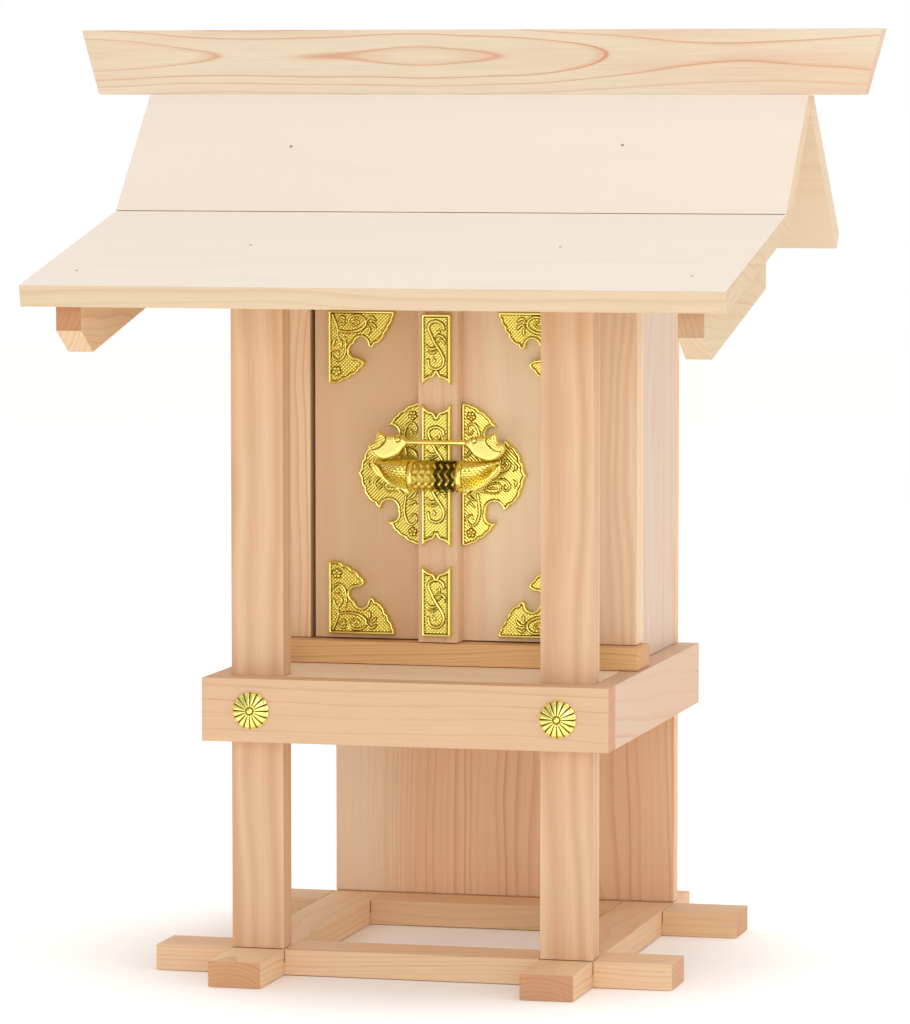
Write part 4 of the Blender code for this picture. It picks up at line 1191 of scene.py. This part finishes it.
# %% Birds
BIRD_SHAPE = [(0.50, -0.06, 0.12), (0.47, 0.07, 0.12), (0.34, 0.13, -0.10), (0.29, 0.40, 0.10),
              (0.24, 0.50, -0.10), (0.10, 0.37, 0.03), (-0.31, 0.33, 0.16), (-0.50, 0.12, 0.10),
              (-0.38, -0.10, 0.03), (-0.28, -0.28, 0.12), (0.08, -0.50, 0.16), (0.36, -0.37, 0.14)]
BIRD_LONG_MM, BIRD_HIGH_MM, BIRD_SPACING_MM, ROD_MM = 19.8, 14.0, 47.5, 2.3
BIRD_CELL_MM = 0.2
FEATHER_MM = 1.25      # distance of the wing's lines
WING_CURVE = [(1.2, 4.4), (1.0, 2.6), (2.4, 0.6), (5.0, -1.4), (8.4, -2.4)]
FEATHER_FLOOR = (1.2, 2.4, 5.0, 8.4), (2.8, 0.6, -1.4, -2.4)   # across and up
CREST = [(-4.9, 3.2), (-4.7, 4.6), (-4.6, 5.2)]
bar_low, bar_high = box_mm("lock_bar")


def bird_relief(places, depth):
    """A puffed body with a crest, a wing's curve, and fine lines above the curve."""
    a, b = places.T
    puff = arch(np.clip(1 - depth / 2.2, 0, 1))
    fold = nearness(places, [stroke(WING_CURVE, 0.9, (0.8, 0.4), 0.4)])
    crest = nearness(places, [stroke(CREST, 2.4, (1.0, 0.2), 0.1)])
    above = np.interp(a, *FEATHER_FLOOR) < b
    feather = above & (a > 1.4) & (b < 4.4) & (depth > 1.0)
    lines = np.where(feather, np.sin(2 * math.pi * (0.55 * a + b) / FEATHER_MM), 0.0)
    cut, ring = np.clip(1 - fold ** 2, 0, 1), bell(crest, 1.15, 0.2)
    height = 1.5 * (puff - 1) - 0.35 * cut + 0.12 * lines + 0.45 * arch(crest) * puff - 0.2 * ring
    depth_and_painted_shade = 0.9 * cut + 0.35 * (lines < -0.2) + 0.7 * ring
    return np.minimum(height - 0.42, 0), np.clip(depth_and_painted_shade, 0, 1)


bird_outline = rounded(BIRD_SHAPE, BIRD_LONG_MM, BIRD_HIGH_MM)
bird_z = bar_high.z - bird_outline[:, 1].max()
bar = [stamped(bird_outline, bird_relief, bar_high.y, bar_low.y,
               (LOCK_X + side * BIRD_SPACING_MM / 2, bird_z), (side, 1), BIRD_CELL_MM)
       for side in (-1, 1)]
print("birds %.1f mm long" % BIRD_LONG_MM)

# %% [markdown]
# ## The rod
#
# The rod is drawn wire, with its ends filed round. It is a cylinder that ends inside the birds.

# %% Rod
ROD_UP_MM = 7.8              # from the top of the lock's box to the rod
ROD_INTO_BIRD_MM, ROD_FILED_MM = 3, 0.3
rod_y = (bar_low.y + bar_high.y) / 2
rod_z = LOCK_TOP_Z + RELIEF_ROOM_MM + ROD_UP_MM
rod = bmesh.new()
rod.verts.layers.float.new("depth_and_painted_shade")
lie = Matrix.Translation(Vector((LOCK_X, rod_y, rod_z)) * MM) @ Matrix.Rotation(math.pi / 2, 4, "Y")
bmesh.ops.create_cone(rod, cap_ends=True, segments=24, radius1=ROD_MM / 2 * MM,
                      radius2=ROD_MM / 2 * MM, matrix=lie,
                      depth=(BIRD_SPACING_MM - 2 * ROD_INTO_BIRD_MM) * MM)
ends = [e for e in rod.edges if len({round(v.co.x, 6) for v in e.verts}) == 1]
bmesh.ops.bevel(rod, geom=ends, offset=ROD_FILED_MM * MM, segments=3, profile=0.5, affect="EDGES",
                material=-1)
brass_piece("gilt_lock_bar", bar + [rod], "lock_bar", "left_leaf")

# %% [markdown]
# ## Floor and light
#
# The photograph has the plain white of a shop picture: a white floor that runs into a white
# background, and soft light from all sides. The world is white where the camera sees it. For
# everything else it is bright overhead and dim behind the camera, because metal only shows its
# shape when it reflects both light and dark. Three soft boxes do the rest.

# %% Floor
FLOOR_SIZE_M = 12.0
FLOOR_GAP_M = 0.0003   # keeps the floor and the beams' undersides apart
# Painted light: the floor glows, from nothing near the shrine to full strength further out.
GLOW_FROM_M, GLOW_FULL_M, GLOW = 0.09, 0.21, 0.26


def white_paper_with_painted_glow():
    """Uncoated white paper that glows as painted light, with no glow close to the shrine."""
    material, add = new_material("white_paper_with_painted_glow")
    away = add("VectorMath", add("TexCoord", out=3), operation="LENGTH", out=1)
    glow = add("MapRange", away, GLOW_FROM_M, GLOW_FULL_M, 0.0, GLOW,
               interpolation_type="SMOOTHSTEP")
    shader = add("BsdfPrincipled", Base_Color=hex_colour("#fbf8f5"), Roughness=0.9,
                 Emission_Color=hex_colour("#ffffff"), Emission_Strength=glow)
    add("OutputMaterial", shader)
    return material


floor = bmesh.new()
bmesh.ops.create_grid(floor, x_segments=1, y_segments=1, size=FLOOR_SIZE_M / 2,
                      matrix=Matrix.Translation((0, 0, -FLOOR_GAP_M)))
piece_of(floor, "studio_floor", white_paper_with_painted_glow())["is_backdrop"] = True
print("floor %.0f m wide" % FLOOR_SIZE_M)

# %% [markdown]
# ## Soft boxes and sky
#
# Each lamp is a rectangle the size of a studio's soft box, because a small lamp would draw hard
# shadows that the photograph lacks. The overhead one whitens the roof, the front one lights the
# doors, and the one on the right brightens that side. The sky's strength grows with height.

# %% Soft boxes and the world
LAMPS = {   # place, what it looks at, width and height in metres, and watts
    "overhead": ((0.2, -0.2, 2.2), (0, 0, 0.2), (2.0, 2.0), 10.3),
    "front": ((0.5, -2.6, 0.75), (0, 0, 0.22), (1.4, 1.0), 13.8),
    "right_side": ((2.4, -0.5, 0.9), (0, 0, 0.2), (1.4, 1.4), 9.3),
}
SKY, SKY_UP, SKY_BACK = 0.58, 0.30, 0.15   # strength level, and what up and behind the shrine add
for name, (place, target, size, watts) in LAMPS.items():
    data = bpy.data.lights.new(name, "AREA")
    data.shape = "RECTANGLE"
    data.size, data.size_y = size
    data.energy = watts
    lamp = bpy.data.objects.new(name, data)
    lamp.location = place
    lamp.rotation_euler = aimed(place, target)
    bpy.context.scene.collection.objects.link(lamp)
    print("%s: %.1f W" % (name, watts))

world = bpy.data.worlds.new("white_studio")
bpy.context.scene.world = world
world.use_nodes = True
world.node_tree.nodes.clear()
add = functools.partial(add_node, world.node_tree)
upward = add("SeparateXYZ", add("TexCoord", out=0), out=2)
toward_back = add("SeparateXYZ", add("TexCoord", out=0), out=1)
sky = add("Math", upward, SKY_UP, SKY, operation="MULTIPLY_ADD")
sky = add("Math", toward_back, SKY_BACK, sky, operation="MULTIPLY_ADD")
seen = add("LightPath", out=0)
strength = add("Mix", seen, data_type="FLOAT", sockets=[(2, sky), (3, 1.0)], out=0)
add("OutputWorld",
    add("Background", Color=hex_colour("#ffffff"), Strength=strength))
bpy.context.scene.view_settings.view_transform = "Standard"

# %% [markdown]
# ## The end
#
# The last line finds the box round every piece that is shown, leaving out the floor.

# %% Sizes and the end
low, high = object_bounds()
